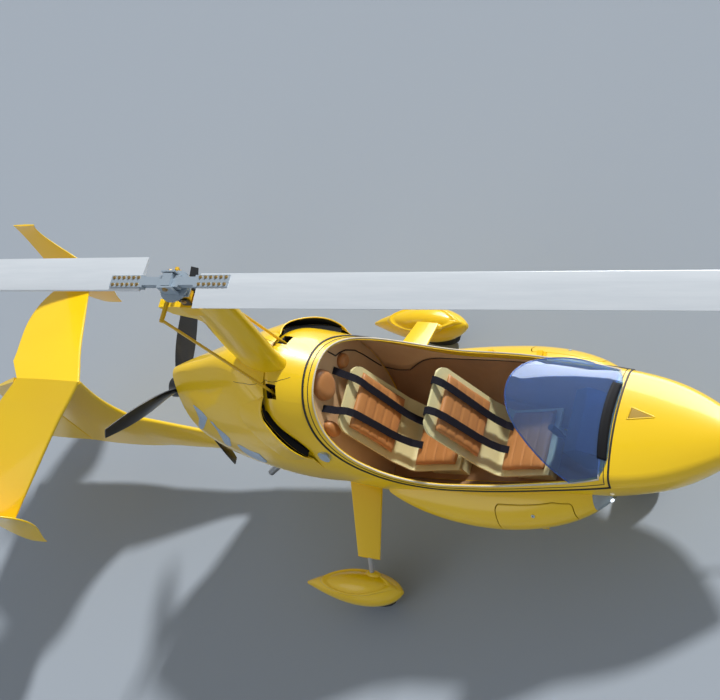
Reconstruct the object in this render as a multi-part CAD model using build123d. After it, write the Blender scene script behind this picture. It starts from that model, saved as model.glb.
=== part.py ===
from build123d import *
import math
import os

# Tandem two-seat gyrocopter with a composite hull, in millimetres.
# +X is forward, +Y is left and +Z is up. The origin is on the floor, under the middle of the
# rotor hub and on the hull's plane of symmetry. The aircraft stands on its three wheels.

os.makedirs("parts", exist_ok=True)

# Walls and clearances
TUB_WALL = 10.0
NOSE_WALL = 7.0
COWL_WALL = 5.0
TAIL_SKIN = 5.0
POD_WALL = 4.0
PANT_WALL = 4.0
MAST_WALL = 6.0
GLASS = 4.0
RUN_FIT = 0.05
SEAT_GAP = 0.3
MOVE_GAP = 5.5

# Hull stations along X
NOSE_TIP_X = 2622.0
NOSE_JOINT_X = 1836.0
COWL_SPLIT_X = 134.0
FIREWALL_X = -60.0
COWL_REAR_X = -814.0
HULL_SPLIT_Z = 700.0
LIP_FOOT_Z = 1149.0

# Cockpit rim, seen from the side: the canopy frame's outer line
RIM_REAR_X = 176.0
RIM_REAR_Z = 1420.0
RIM_KNEE = (233.0, 1200.0)
RIM_SHOULDER = (407.0, 988.0)
RIM_SWEEP = (600.0, 868.0)
RIM_FLAT_X = 881.0
RIM_Z = 812.0
RIM_FRONT_Z = 804.0
RING_WIDTH = 50.0

# Main gear
AXLE_X = 86.0
TRACK = 1740.0
MAIN_TYRE_R = 170.0
MAIN_TYRE_W = 96.0
MAIN_AXLE_R = 12.5

# Nose gear
NOSE_AXLE_X = 1660.0
NOSE_TRAIL = 24.0
NOSE_TYRE_R = 128.0
NOSE_TYRE_W = 78.0
NOSE_AXLE_R = 8.0
TOW_BORE_R = 5.0
STEM_R = 15.0

# Rotor head
HUB_Z = 2600.0
PITCH_AXIS_Z = 2452.0
ROLL_AXIS_Z = 2490.0
HEAD_BOLT_R = 8.0
BLADE_ROOT_R = 190.0
ROTOR_R = 4200.0
BLADE_CHORD = 200.0
BLADE_THICK = 24.0
STRAP_END_R = 390.0

# Propeller
PROP_X = -934.0
PROP_Z = 1180.0
PROP_R = 740.0
PROP_SHAFT_R = 15.0
PROP_BLADES = 3
PROP_PARK = -75.0

# Tail
HINGE_LOW = (-2361.0, 240.0)
HINGE_TOP = (-2222.0, 1225.0)
HINGE_ROD_R = 4.0

# Push rods of the rotor head
ROD_Y = 150.0
ROD_TOP = (-110.0, 2500.0)
ROD_LOW = (20.0, 1400.0)
ROD_R = 9.0


def egg_points(low, r_low, wide, half, high, r_high, inset=0.0):
    """Points of a closed outline of six tangent arcs, symmetric about u = 0.

    v runs from low to high, and the outline is widest, at u = half, where v = wide.
    Each end is an arc of its own radius, and a side arc joins it to the widest point.
    An inset gives the exact parallel outline inside the first one.
    """
    h = half - inset

    def side(end, r_end, sign):
        r = r_end - inset
        centre = end - sign * (inset + r)
        rise = centre - wide
        big = (h * h + rise * rise - r * r) / (2.0 * (h - r))
        scale = big / (big - r)
        tangent = (h - big + (big - h) * scale, wide + rise * scale)
        angle = math.atan2(tangent[1] - wide, tangent[0] - (h - big)) / 2.0
        middle = (h - big + big * math.cos(angle), wide + big * math.sin(angle))
        return tangent, middle, (0.0, end - sign * inset)

    t_high, m_high, top = side(high, r_high, 1.0)
    t_low, m_low, bottom = side(low, r_low, -1.0)
    return t_high, m_high, (h, wide), m_low, t_low, bottom, top


def egg_wire(place, *sizes, inset=0.0):
    """The outline of egg_points as a wire; place(u, v) puts a point in space."""
    t_high, m_high, widest, m_low, t_low, bottom, top = egg_points(*sizes, inset=inset)

    def at(point, flip=1.0):
        return Vector(*place(flip * point[0], point[1]))

    arcs = [
        (at(t_high), at(m_high), at(widest)),
        (at(widest), at(m_low), at(t_low)),
        (at(t_low), at(bottom), at(t_low, -1.0)),
        (at(t_low, -1.0), at(m_low, -1.0), at(widest, -1.0)),
        (at(widest, -1.0), at(m_high, -1.0), at(t_high, -1.0)),
        (at(t_high, -1.0), at(top), at(t_high)),
    ]
    return Wire([Edge.make_three_point_arc(*arc) for arc in arcs])


def hull_loft(table, inset=0.0, ruled=False):
    """Loft of sections across X from rows of (x, low, r_low, wide, half, high, r_high)."""
    wires = [egg_wire(lambda u, v, x=row[0]: (x, u, v), *row[1:], inset=inset) for row in table]
    return Solid.make_loft(wires, ruled)


def box(x0, x1, y0, y1, z0, z1):
    """A block between its lowest and highest corners."""
    middle = Location(((x0 + x1) / 2, (y0 + y1) / 2, (z0 + z1) / 2))
    return middle * Box(x1 - x0, y1 - y0, z1 - z0)


def rod(start, end, radius):
    """A round bar between two points."""
    start, end = Vector(*start), Vector(*end)
    run = end - start
    plane = Plane(origin=start, z_dir=run.normalized())
    return Solid.make_cylinder(radius, run.length, plane)


def side_slab(face, half_width):
    """A face drawn in X and Z, made as wide as both halves of the hull."""
    return extrude(Plane.XZ * face, half_width, both=True)


def mirror_y(shape):
    return mirror(shape, Plane.XZ)


def both_sides(shape):
    return shape + mirror_y(shape)


# Hull sections. Columns: x, lowest z, bottom radius, widest z, half width, highest z, top radius.
TUB_TABLE = [
    (-60, 243, 250, 1060, 398, 1590, 190),
    (60, 244, 255, 1040, 404, 1573, 295),
    (180, 247, 258, 960, 405, 1500, 285),
    (400, 250, 260, 860, 418, 1420, 290),
    (700, 255, 260, 805, 420, 1290, 330),
    (1100, 265, 250, 790, 412, 1150, 440),
    (1500, 285, 225, 790, 382, 1010, 600),
    (NOSE_JOINT_X, 325, 180, 785, 347, 912, 900),
    (2140, 420, 160, 750, 282, 872, 600),
    (2336, 520, 120, 735, 192, 836, 350),
    (2500, 620, 65, 728, 93, 792, 130),
    (NOSE_TIP_X, 714, 12, 731, 15, 744, 18),
]
COWL_TABLE = [
    (COWL_REAR_X, 212, 92, 960, 215, 1430, 46),
    (-610, 219, 132, 970, 290, 1520, 52),
    (-410, 227, 178, 1000, 344, 1602, 76),
    (-210, 235, 220, 1035, 388, 1655, 160),
    (-10, 243, 252, 1060, 407, 1600, 350),
    (190, 247, 258, 990, 405, 1560, 380),
]
HULL_HALF = 460.0
SKY_Z = 1700.0

tub_outer = hull_loft(TUB_TABLE)
tub_inner = hull_loft(TUB_TABLE, inset=TUB_WALL)
nose_inner = hull_loft(TUB_TABLE, inset=NOSE_WALL)
cowl_outer = hull_loft(COWL_TABLE)
cowl_inner = hull_loft(COWL_TABLE, inset=COWL_WALL)

nodes = {}


def rim_face():
    """The cockpit opening seen from the side, above the canopy frame's outer line."""
    line = [
        Line((RIM_REAR_X, SKY_Z), (RIM_REAR_X, RIM_REAR_Z)),
        ThreePointArc((RIM_REAR_X, RIM_REAR_Z), RIM_KNEE, RIM_SHOULDER),
        ThreePointArc(RIM_SHOULDER, RIM_SWEEP, (RIM_FLAT_X, RIM_Z)),
        Line((RIM_FLAT_X, RIM_Z), (NOSE_JOINT_X, RIM_FRONT_Z)),
        Line((NOSE_JOINT_X, RIM_FRONT_Z), (NOSE_JOINT_X, SKY_Z)),
        Line((NOSE_JOINT_X, SKY_Z), (RIM_REAR_X, SKY_Z)),
    ]
    return make_face(Wire(line))


rim = rim_face()
rim_cut = side_slab(rim, HULL_HALF)
ring_outer_cut = side_slab(offset(rim, -MOVE_GAP, kind=Kind.INTERSECTION), HULL_HALF)
ring_inner_cut = side_slab(offset(rim, -MOVE_GAP - RING_WIDTH, kind=Kind.INTERSECTION), HULL_HALF)

# The nose shell ends in a flat joint with the tub.
nose_zone = box(NOSE_JOINT_X, 2700, -HULL_HALF, HULL_HALF, 200, 1100)
nose = (tub_outer & nose_zone) - nose_inner

# The tub is one hollow moulding from the nose joint to the firewall. Behind the cowl's edge its
# lower flank steps in by the cowl's wall, so that the cowl's skin lies flush with it. In front of
# the cowl's slanted lips each flank has the opening of an air intake.
JOGGLE = COWL_WALL + SEAT_GAP
ROD_HOLE_X = (-14.0, 44.0)
ROD_HOLE_Y = (124.0, 194.0)
STEM_X = NOSE_AXLE_X + NOSE_TRAIL
tub_zone = box(FIREWALL_X, NOSE_JOINT_X, -HULL_HALF, HULL_HALF, 200, SKY_Z)
joggle_zone = box(FIREWALL_X - 40, COWL_SPLIT_X, -HULL_HALF, HULL_HALF, 200, LIP_FOOT_Z)
tub_step = joggle_zone - hull_loft(TUB_TABLE[:4], inset=JOGGLE)
hollow_zone = box(FIREWALL_X + TUB_WALL, 2000, -HULL_HALF, HULL_HALF, 200, SKY_Z)
rod_hole = both_sides(box(*ROD_HOLE_X, *ROD_HOLE_Y, 1380, 1620))
stem_hole = rod((STEM_X, 0, 200), (STEM_X, 0, 420), STEM_R + MOVE_GAP)
tub_solid = (tub_outer & tub_zone) - tub_step
INTAKE = [(130, 1156), (66, 1264), (8, 1352), (-48, 1440), (-46, 1472), (-20, 1455), (34, 1368),
          (94, 1280), (122, 1222), (137, 1168)]
intake = extrude(Plane.XZ * make_face(Wire(Polyline(*INTAKE, close=True))), -HULL_HALF)
intake = both_sides(intake & box(-100, 200, 240, HULL_HALF, 1100, 1500))
tub = tub_solid - (tub_inner & hollow_zone) - rim_cut - rod_hole - stem_hole - intake

# Engine cowl and rear hull: one shell behind the slanted lips of the two side air intakes, split
# level so that the cowl lifts off. Its rear is open for cooling air and the propeller shaft.
LIP = [(COWL_SPLIT_X, 200), (COWL_SPLIT_X, LIP_FOOT_Z), (66, 1264), (8, 1352), (-48, 1440),
       (-50, 1492), (-24, 1550), (-20, SKY_Z), (COWL_REAR_X, SKY_Z), (COWL_REAR_X, 200)]
BOOM_SOCKET_X = -700.0
BOOM_SOCKET_Z = 352.0
lip_zone = side_slab(make_face(Wire(Polyline(*LIP, close=True))), HULL_HALF)
cowl_solid = cowl_outer & lip_zone
cowl_shell = cowl_solid - cowl_inner - tub_solid
upper_zone = box(-900, 300, -HULL_HALF, HULL_HALF, HULL_SPLIT_Z, SKY_Z)
lower_zone = box(-900, 300, -HULL_HALF, HULL_HALF, 200, HULL_SPLIT_Z)
socket = cowl_inner & box(COWL_REAR_X, BOOM_SOCKET_X, -HULL_HALF, HULL_HALF, 200, BOOM_SOCKET_Z)
nodes["engine_cowl"] = cowl_shell & upper_zone
rear_hull = (cowl_shell & lower_zone) + socket

# Mast: a hollow pylon with a rounded leading edge, standing on the cowl's hump.
# Columns: z, trailing x, trailing radius, widest x, half thickness, leading x, leading radius.
MAST_TABLE = [
    (1440, -212, 24, -60, 84, 84, 60),
    (1640, -196, 14, -40, 66, 92, 46),
    (1800, -178, 10, -10, 58, 120, 40),
    (2110, -112, 8, 60, 54, 182, 36),
    (2470, -134, 8, 110, 50, 250, 32),
]


def mast_loft(inset=0.0):
    wires = [egg_wire(lambda u, v, z=row[0]: (v, u, z), *row[1:], inset=inset) for row in MAST_TABLE]
    return Solid.make_loft(wires, False)


def mast_top_z(x):
    """The front part of the mast's top slopes: its height at x."""
    return 2360.0 + 0.34 * x


mast_top = [(-300, 1400), (-300, mast_top_z(-24)), (-24, mast_top_z(-24)), (300, mast_top_z(300)), (300, 1400)]
mast_zone = side_slab(make_face(Wire(Polyline(*mast_top, close=True))), 120)
mast_solid = mast_loft() & mast_zone
mast_hollow = mast_loft(MAST_WALL) & (Pos(0, 0, -MAST_WALL) * mast_zone)
BEAK = [(-60, 2120), (-93, 2202), (-209, 2263), (-250, 2335), (-250, mast_top_z(-24)),
        (40, mast_top_z(-24)), (40, 2120)]
beak = side_slab(make_face(Wire(Polyline(*BEAK, close=True))), 24)
mast = (mast_solid + beak) - mast_hollow - cowl_solid - tub_solid

# Canopy: a ring frame that follows the rim, with the windscreen on its front half. It swings
# up to the left on two hinges.
CANOPY_HINGE_Y = 433.0
CANOPY_HINGE_Z = 806.0
CANOPY_HINGE_X = (920.0, 1240.0)
CANOPY_PIN_R = 4.0
KNUCKLE_R = 10.0
KNUCKLE = 34.0
LUG = 12.0
ring = (tub_outer & (ring_outer_cut - ring_inner_cut)) - tub_inner
# Columns as for the hull.
GLASS_TABLE = [
    (1230, 300, 200, 818, 394, 1420, 290),
    (1373, 300, 200, 815, 386, 1345, 300),
    (1550, 300, 200, 805, 368, 1215, 330),
    (1700, 300, 200, 795, 350, 1062, 420),
    (1850, 300, 200, 785, 336, 900, 800),
]
GLASS_FRONT_X = 1826.0
GLASS_SILL_Z = 828.0
GLASS_EDGE = [(1366, 1360), (1640, GLASS_SILL_Z), (GLASS_FRONT_X, GLASS_SILL_Z),
              (GLASS_FRONT_X, 1360)]
glass_zone = side_slab(make_face(Wire(Polyline(*GLASS_EDGE, close=True))), HULL_HALF)
glass = (hull_loft(GLASS_TABLE) - hull_loft(GLASS_TABLE, inset=GLASS)) & glass_zone
nodes["windscreen"] = (glass - ring).solids().sort_by(SortBy.VOLUME)[-1]
for x in CANOPY_HINGE_X:
    here, there = x - KNUCKLE / 2, x + KNUCKLE / 2
    side = rod((here, CANOPY_HINGE_Y, CANOPY_HINGE_Z), (there, CANOPY_HINGE_Y, CANOPY_HINGE_Z), KNUCKLE_R)
    over = CANOPY_HINGE_Z + KNUCKLE_R + 3
    arm = box(here, there, 395, CANOPY_HINGE_Y + KNUCKLE_R, over, over + 12)
    arm = arm + box(here, there, CANOPY_HINGE_Y - KNUCKLE_R, CANOPY_HINGE_Y + KNUCKLE_R, CANOPY_HINGE_Z, over)
    bore = rod((here - 1, CANOPY_HINGE_Y, CANOPY_HINGE_Z), (there + 1, CANOPY_HINGE_Y, CANOPY_HINGE_Z),
               CANOPY_PIN_R + RUN_FIT)
    ring = ring + (side + (arm - tub_inner) - bore)
    start, end = here - SEAT_GAP - LUG, there + SEAT_GAP + LUG
    pin = rod((start, CANOPY_HINGE_Y, CANOPY_HINGE_Z), (end, CANOPY_HINGE_Y, CANOPY_HINGE_Z), CANOPY_PIN_R)
    lugs = box(start, end, 395, CANOPY_HINGE_Y + KNUCKLE_R, CANOPY_HINGE_Z - 10, CANOPY_HINGE_Z + 5)
    lugs = lugs - box(here - SEAT_GAP, there + SEAT_GAP, 385, 460, 780, 830) - tub_inner
    tub = tub + lugs + pin
nodes["canopy_frame"] = ring
nodes["nose_shell"] = nose
nodes["tub_shell"] = tub
nodes["mast"] = mast

# Cockpit furniture. The floor and the rear wall fit inside the tub.
FLOOR_Z = 330.0
FLOOR_T = 8.0
WALL_X = 150.0
fit_inside = hull_loft(TUB_TABLE, inset=TUB_WALL + SEAT_GAP)
floor_top = FLOOR_Z + FLOOR_T
stem_room = rod((STEM_X, 0, 300), (STEM_X, 0, 700), 30)
nodes["cockpit_floor"] = (fit_inside & box(WALL_X + 10, 1800, -400, 400, FLOOR_Z, floor_top)) - stem_room
nodes["rear_wall"] = fit_inside & box(WALL_X, WALL_X + 9.7, -420, 420, 300, 1600)


def seat(path, half_width, corner, foot):
    """A bent seat shell on a box foot, its top corners rounded in front view."""
    shell = trace(FilletPolyline(*path, radius=50), 14)
    shell = side_slab(shell, half_width)
    tall = path[0][1] - 200
    front = Plane.YZ * Pos(0, 200 + tall / 2) * RectangleRounded(2 * half_width, tall + 14, corner)
    shell = shell & extrude(front, 2500)
    x0, x1, half_foot = foot
    under = box(x0, x1, -half_foot, half_foot, floor_top, 800)
    above = Polyline((x0 - 1, 900), *[(x, z) for x, z in path[-2:]], (x1 + 200, 900), close=True)
    return shell + (under - side_slab(make_face(Wire(above)), half_width))


def pad(start, end, half_width, thick, lift, round_by):
    """A cushion along a seat line from start to end, lifted off it towards the sitter."""
    run = Vector(end[0] - start[0], 0, end[1] - start[1])
    plane = Plane(origin=(start[0], 0, start[1]), x_dir=run.normalized(), z_dir=(0, -1, 0))
    block = Pos(run.length / 2, lift + thick / 2, 0) * Box(run.length, thick, 2 * half_width)
    return fillet((plane * block).edges(), round_by)


FRONT_SEAT = [(812, 1165), (905, 640), (965, 490), (1320, 560)]
REAR_SEAT = [(236, 1150), (330, 640), (392, 500), (740, 560)]
SEAT_LIFT = 7.0 + SEAT_GAP
nodes["front_seat"] = seat(FRONT_SEAT, 205, 90, (1010, 1250, 150))
nodes["rear_seat"] = seat(REAR_SEAT, 205, 90, (440, 680, 150))
nodes["front_cushion"] = pad((1005, 498), (1300, 556), 180, 50, SEAT_LIFT, 18)
nodes["front_back_pad"] = pad((825.3, 1090), (895.3, 695), 170, 40, SEAT_LIFT, 15)
nodes["rear_cushion"] = pad((432, 507), (725, 557.5), 180, 50, SEAT_LIFT, 18)
nodes["rear_back_pad"] = pad((248.9, 1080), (319.9, 695), 170, 40, SEAT_LIFT, 15)
HEADREST = (0, 1280)
headrest_face = Plane.YZ * Pos(*HEADREST) * Ellipse(88, 112)
headrest = extrude(headrest_face, 44)
nodes["headrest"] = Pos(WALL_X + 10, 0, 0) * fillet(headrest.edges().sort_by(Axis.X)[-1], 16)
PANEL = [(1575, 640), (1545, 890), (1640, 925), (1745, 850), (1745, 640)]
panel = side_slab(make_face(Wire(FilletPolyline(*PANEL, radius=24, close=True))), 185)
column = box(1575, 1630, -60, 60, floor_top, 642)
nodes["instrument_panel"] = (panel + column) & fit_inside
for name, foot_x, top_x, top_z in (("front_stick", 1430, 1390, 730), ("rear_stick", 865, 845, 650)):
    stick = rod((foot_x, 0, floor_top + 8), (top_x, 0, top_z), 11)
    grip = rod((top_x + 2, 0, top_z - 60), (top_x - 5, 0, top_z + 50), 19)
    base = rod((foot_x, 0, floor_top), (foot_x, 0, floor_top + 30), 32)
    nodes[name] = stick + grip + base

# Engine block, its mount on the firewall, and the propeller shaft.
ENGINE_X = (-480.0, -150.0)
ENGINE_HALF = 150.0
ENGINE_Z = (975.0, 1235.0)
engine = fillet(box(*ENGINE_X, -ENGINE_HALF, ENGINE_HALF, *ENGINE_Z).edges(), 18)
gearbox = rod((ENGINE_X[0] + 20, 0, PROP_Z), (ENGINE_X[0] - 90, 0, PROP_Z), 62)
shaft = rod((ENGINE_X[0], 0, PROP_Z), (PROP_X - 30, 0, PROP_Z), PROP_SHAFT_R)
nodes["engine"] = engine + gearbox + shaft
mount = None
for y in (-115, 115):
    for z in (1010, 1200):
        tube = rod((FIREWALL_X, y * 1.3, z + (40 if z > 1100 else -40)), (ENGINE_X[1] - 20, y, z), 13)
        mount = tube if mount is None else mount + tube
nodes["engine_mount"] = (mount & box(-400, FIREWALL_X, -300, 300, 800, 1400)) - engine

# Propeller: three blades with pitch that falls towards the tip.
# Columns: radius, chord, half thickness, pitch in degrees from the disc.
BLADE_TABLE = [
    (50, 62, 17, 58),
    (210, 118, 12, 38),
    (470, 112, 8, 23),
    (PROP_R, 58, 4, 15),
]


def prop_blade():
    wires = []
    for radius, chord, half, pitch in BLADE_TABLE:
        lean = math.radians(pitch)

        def place(u, v, r=radius, c=math.cos(lean), s=math.sin(lean)):
            return PROP_X + v * s + u * c, v * c - u * s, PROP_Z + r
        wires.append(egg_wire(place, -chord / 2, half * 0.25, chord * 0.12, half, chord / 2, half * 0.6))
    return Solid.make_loft(wires, False)


prop = rod((PROP_X - 45, 0, PROP_Z), (PROP_X + 34, 0, PROP_Z), 60)
hub_axis = Axis((PROP_X, 0, PROP_Z), (1, 0, 0))
one_blade = prop_blade()
for turn in range(PROP_BLADES):
    prop = prop + one_blade.rotate(hub_axis, 360.0 * turn / PROP_BLADES + PROP_PARK)
nodes["propeller"] = prop - rod((PROP_X - 36, 0, PROP_Z), (PROP_X + 60, 0, PROP_Z), PROP_SHAFT_R + RUN_FIT)

# Side pods: crescent baggage bins below the rim, each with a drop-down hatch and, in front, the
# clear cover of a landing lamp. Sections lie on their side: v runs outwards, u up and down.
# Columns: x, height of the middle, inner y, inner radius, widest y, half height, reach, outer radius.
POD_TABLE = [
    (430, 735, 300, 20, 372, 34, 428, 24),
    (640, 675, 200, 60, 360, 125, 505, 92),
    (960, 622, 150, 90, 350, 176, 551, 120),
    (1240, 616, 150, 90, 350, 177, 549, 120),
    (1500, 624, 150, 80, 335, 153, 500, 100),
    (1680, 630, 150, 55, 303, 104, 420, 66),
    (1775, 622, 180, 24, 272, 46, 345, 30),
]
LAMP_X = 1690.0
HATCH = [(1130, 486), (1400, 486), (1590, 535), (1590, 726), (1480, 752), (1130, 764)]
HATCH_PIN_R = 3.0
HATCH_HINGE_Y = 484.0
HATCH_HINGE_X = (1200.0, 1320.0)
HATCH_HINGE_Z = 470.0


def pod_loft(inset=0.0):
    wires = [egg_wire(lambda u, v, x=row[0], zc=row[1]: (x, v, zc + u), *row[2:], inset=inset)
             for row in POD_TABLE]
    return Solid.make_loft(wires, False)


def hatch_window(gap):
    """The hatch's outline seen from the side, drawn in by a gap, as a block through the flank."""
    face = make_face(Wire(FilletPolyline(*HATCH, radius=30, close=True)))
    if gap:
        face = offset(face, -gap)
    return extrude(Plane.XZ * face, -700) & box(1100, 1650, 394 + gap, 700, 400, 900)


pod_solid = pod_loft() - tub_outer
pod_skin = pod_solid - pod_loft(POD_WALL)
pod = (pod_skin & box(400, LAMP_X, 200, 700, 300, 900)) - hatch_window(0)
hatch = pod_skin & hatch_window(MOVE_GAP)
lamp = pod_skin & box(LAMP_X, 1800, 200, 700, 300, 900)
for x in HATCH_HINGE_X:
    here, there = x - 12, x + 12
    pin_line = (HATCH_HINGE_Y, HATCH_HINGE_Z)
    knuckle = rod((here, *pin_line), (there, *pin_line), 7)
    leaf = box(here, there, HATCH_HINGE_Y + 1.5, HATCH_HINGE_Y + 8, HATCH_HINGE_Z, HATCH_HINGE_Z + 31)
    leaf = leaf - pod_loft(POD_WALL)
    hatch = hatch + (knuckle + leaf - rod((here - 1, *pin_line), (there + 1, *pin_line), HATCH_PIN_R + RUN_FIT))
    start, end = here - SEAT_GAP - 8, there + SEAT_GAP + 8
    lug = box(start, end, 440, HATCH_HINGE_Y + 5, HATCH_HINGE_Z - 12, HATCH_HINGE_Z + 1.5)
    lug = lug - box(here - SEAT_GAP, there + SEAT_GAP, 420, 500, 440, 520) - pod_loft(POD_WALL)
    pod = pod + lug + rod((start, *pin_line), (end, *pin_line), HATCH_PIN_R)
for name, shape in (("pod", pod), ("pod_hatch", hatch), ("landing_lamp", lamp)):
    nodes[f"{name}_left"] = shape
    nodes[f"{name}_right"] = mirror_y(shape)

# Main gear: wing-like legs, a dark strut and axle at each tip, and a fairing over each wheel.
# Columns: y, leading x and z, trailing x and z, half thickness.
LEG_TABLE = [
    (330, 270, 592, 82, 664, 18),
    (760, 313, 490, 177, 520, 12),
]
HALF_TRACK = TRACK / 2
STRUT_TOP = (245.0, 745.0, 504.0)
STRUT_KNEE = (178.0, 803.0, 330.0)
STRUT_R = 15.0
CARRIER_Y = (806.0, 814.0)
BOSS_Y = 925.0


def chord_wire(y, lead_x, lead_z, trail_x, trail_z, half, nose=0.7, widest=0.6):
    """A wing section at y, between its trailing and leading points."""
    chord = math.hypot(lead_x - trail_x, lead_z - trail_z)
    ax, az = (lead_x - trail_x) / chord, (lead_z - trail_z) / chord

    def place(u, v):
        return trail_x + v * ax - u * az, y, trail_z + v * az + u * ax
    return egg_wire(place, 0, half * 0.3, chord * widest, half, chord, half * nose)


leg = Solid.make_loft([chord_wire(*row) for row in LEG_TABLE], True) - cowl_solid - tub_solid
axle_line = (AXLE_X, MAIN_TYRE_R)
strut = rod(STRUT_TOP, STRUT_KNEE, STRUT_R) + Pos(*STRUT_KNEE) * Sphere(STRUT_R)
carrier = extrude(Plane.XZ * make_face(Wire(Polyline(
    (STRUT_KNEE[0] - 30, 330), (STRUT_KNEE[0] + 24, 330), (AXLE_X + 26, 152), (AXLE_X - 26, 152),
    close=True))), -(CARRIER_Y[1] - CARRIER_Y[0]))
carrier = Pos(0, CARRIER_Y[0], 0) * carrier
axle_pin = rod((AXLE_X, CARRIER_Y[0], MAIN_TYRE_R), (AXLE_X, BOSS_Y, MAIN_TYRE_R), MAIN_AXLE_R)
strut = (strut - leg) + carrier + axle_pin
# Columns as for the hull, about the wheel's own middle plane.
PANT_TABLE = [
    (-306, 238, 8, 250, 10, 264, 8),
    (-190, 186, 34, 248, 52, 322, 34),
    (-40, 138, 60, 245, 92, 368, 62),
    (110, 122, 70, 240, 106, 384, 74),
    (250, 142, 56, 236, 84, 350, 56),
    (352, 214, 10, 236, 14, 258, 10),
]
PANT_SLOT = (-116.0, 288.0)
pant_outer = Pos(0, HALF_TRACK, 0) * hull_loft(PANT_TABLE)
pant_inner = Pos(0, HALF_TRACK, 0) * hull_loft(PANT_TABLE, inset=PANT_WALL)
slot_half = MAIN_TYRE_W / 2 + 20
pant_slot = box(*PANT_SLOT, HALF_TRACK - slot_half, HALF_TRACK + slot_half, 60, 200)
strut_hole = rod(STRUT_TOP, STRUT_KNEE, STRUT_R + 1) + Pos(*STRUT_KNEE) * Sphere(STRUT_R + 1)
strut_hole = strut_hole + box(130, 206, CARRIER_Y[0] - 1, CARRIER_Y[1] + 1, 285, 331)
boss = rod((AXLE_X, BOSS_Y, MAIN_TYRE_R + 8), (AXLE_X, 1000, MAIN_TYRE_R + 8), 22) & pant_outer
pant = (pant_outer - pant_inner - pant_slot - strut_hole) + boss
for name, shape in (("leg", leg), ("axle_strut", strut), ("wheel_pant", pant)):
    nodes[f"{name}_left"] = shape
    nodes[f"{name}_right"] = mirror_y(shape)


def tyre_solid(radius, width, rim_r):
    """A rounded tyre about the Y axis, with a flat seat for its rim."""
    half = width / 2
    crown = half * 0.9
    profile = Wire([
        Line((rim_r, -half * 0.7), (rim_r, half * 0.7)),
        ThreePointArc((rim_r, half * 0.7), (radius - half * 0.95, half), (radius - crown * 0.35, half * 0.78)),
        ThreePointArc((radius - crown * 0.35, half * 0.78), (radius, 0), (radius - crown * 0.35, -half * 0.78)),
        ThreePointArc((radius - crown * 0.35, -half * 0.78), (radius - half * 0.95, -half), (rim_r, -half * 0.7)),
    ])
    return revolve(make_face(profile), Axis.Y)


def rim_solid(rim_r, width, bore_r, hub_r, hub_half):
    """A dished rim with a hub about the Y axis."""
    barrel = Pos(0, width / 2, 0) * Solid.make_cylinder(rim_r, width, Plane.XZ)
    hollow = Solid.make_cylinder(rim_r - 5, width, Plane.XZ)
    wheel = barrel - Pos(0, width + 5, 0) * hollow - Pos(0, -5, 0) * hollow
    wheel = wheel + Pos(0, hub_half, 0) * Solid.make_cylinder(hub_r, 2 * hub_half, Plane.XZ)
    return wheel - Pos(0, 200, 0) * Solid.make_cylinder(bore_r, 400, Plane.XZ)


MAIN_RIM_R = 82.0
main_centre = Pos(AXLE_X, HALF_TRACK, MAIN_TYRE_R)
main_rim = rim_solid(MAIN_RIM_R, MAIN_TYRE_W * 0.72, MAIN_AXLE_R + RUN_FIT, 26, 48)
main_tyre = tyre_solid(MAIN_TYRE_R, MAIN_TYRE_W, MAIN_RIM_R)
for side, flip in (("left", 1.0), ("right", -1.0)):
    spot = Pos(AXLE_X, flip * HALF_TRACK, MAIN_TYRE_R)
    nodes[f"main_tyre_{side}"] = spot * main_tyre
    nodes[f"main_rim_{side}"] = spot * main_rim

# Nose gear: a steered fork in a tube that stands on the cockpit floor.
CROWN_Z = (2 * NOSE_TYRE_R + 9.0, 2 * NOSE_TYRE_R + 24.0)
FORK_IN = NOSE_TYRE_W / 2 + 6.0
FORK_T = 8.0
STEM_TOP_Z = 520.0
nose_spot = Pos(NOSE_AXLE_X, 0, NOSE_TYRE_R)
nodes["nose_tyre"] = nose_spot * tyre_solid(NOSE_TYRE_R, NOSE_TYRE_W, 62.0)
nodes["nose_rim"] = nose_spot * rim_solid(62.0, NOSE_TYRE_W * 0.72, NOSE_AXLE_R + RUN_FIT, 20, FORK_IN - 0.3)
crown = box(NOSE_AXLE_X - 22, STEM_X + 24, -FORK_IN - FORK_T, FORK_IN + FORK_T, *CROWN_Z)
blade_side = box(NOSE_AXLE_X - 20, NOSE_AXLE_X + 22, FORK_IN, FORK_IN + FORK_T, NOSE_TYRE_R - 18, CROWN_Z[1])
nose_axle = rod((NOSE_AXLE_X, -FORK_IN - FORK_T, NOSE_TYRE_R), (NOSE_AXLE_X, FORK_IN + FORK_T, NOSE_TYRE_R),
                NOSE_AXLE_R)
stem = rod((STEM_X, 0, CROWN_Z[0]), (STEM_X, 0, STEM_TOP_Z), STEM_R)
tow_bore = rod((NOSE_AXLE_X, -100, NOSE_TYRE_R), (NOSE_AXLE_X, 100, NOSE_TYRE_R), TOW_BORE_R)
nodes["nose_fork"] = crown + both_sides(blade_side) + nose_axle + stem - tow_bore
stem_tube = rod((STEM_X, 0, FLOOR_Z - 6), (STEM_X, 0, STEM_TOP_Z - 15), 24)
stem_flange = rod((STEM_X, 0, floor_top), (STEM_X, 0, floor_top + 8), 46)
nodes["nose_gear_tube"] = stem_tube + stem_flange - rod((STEM_X, 0, 300), (STEM_X, 0, 600), STEM_R + RUN_FIT)

# Tail boom and fin: a thin, deep hollow moulding. Columns as for the hull.
BOOM_TABLE = [
    (-1800, 232, 26, 300, 34, 640, 14),
    (-1525, 230, 30, 298, 40, 584, 14),
    (-1338, 229, 32, 296, 43, 502, 15),
    (-1121, 226, 34, 290, 48, 408, 16),
    (-950, 216, 45, 281, 60, 350, 30),
    (COWL_REAR_X, 214, 62, 282, 66, 350, 58),
]
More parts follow.
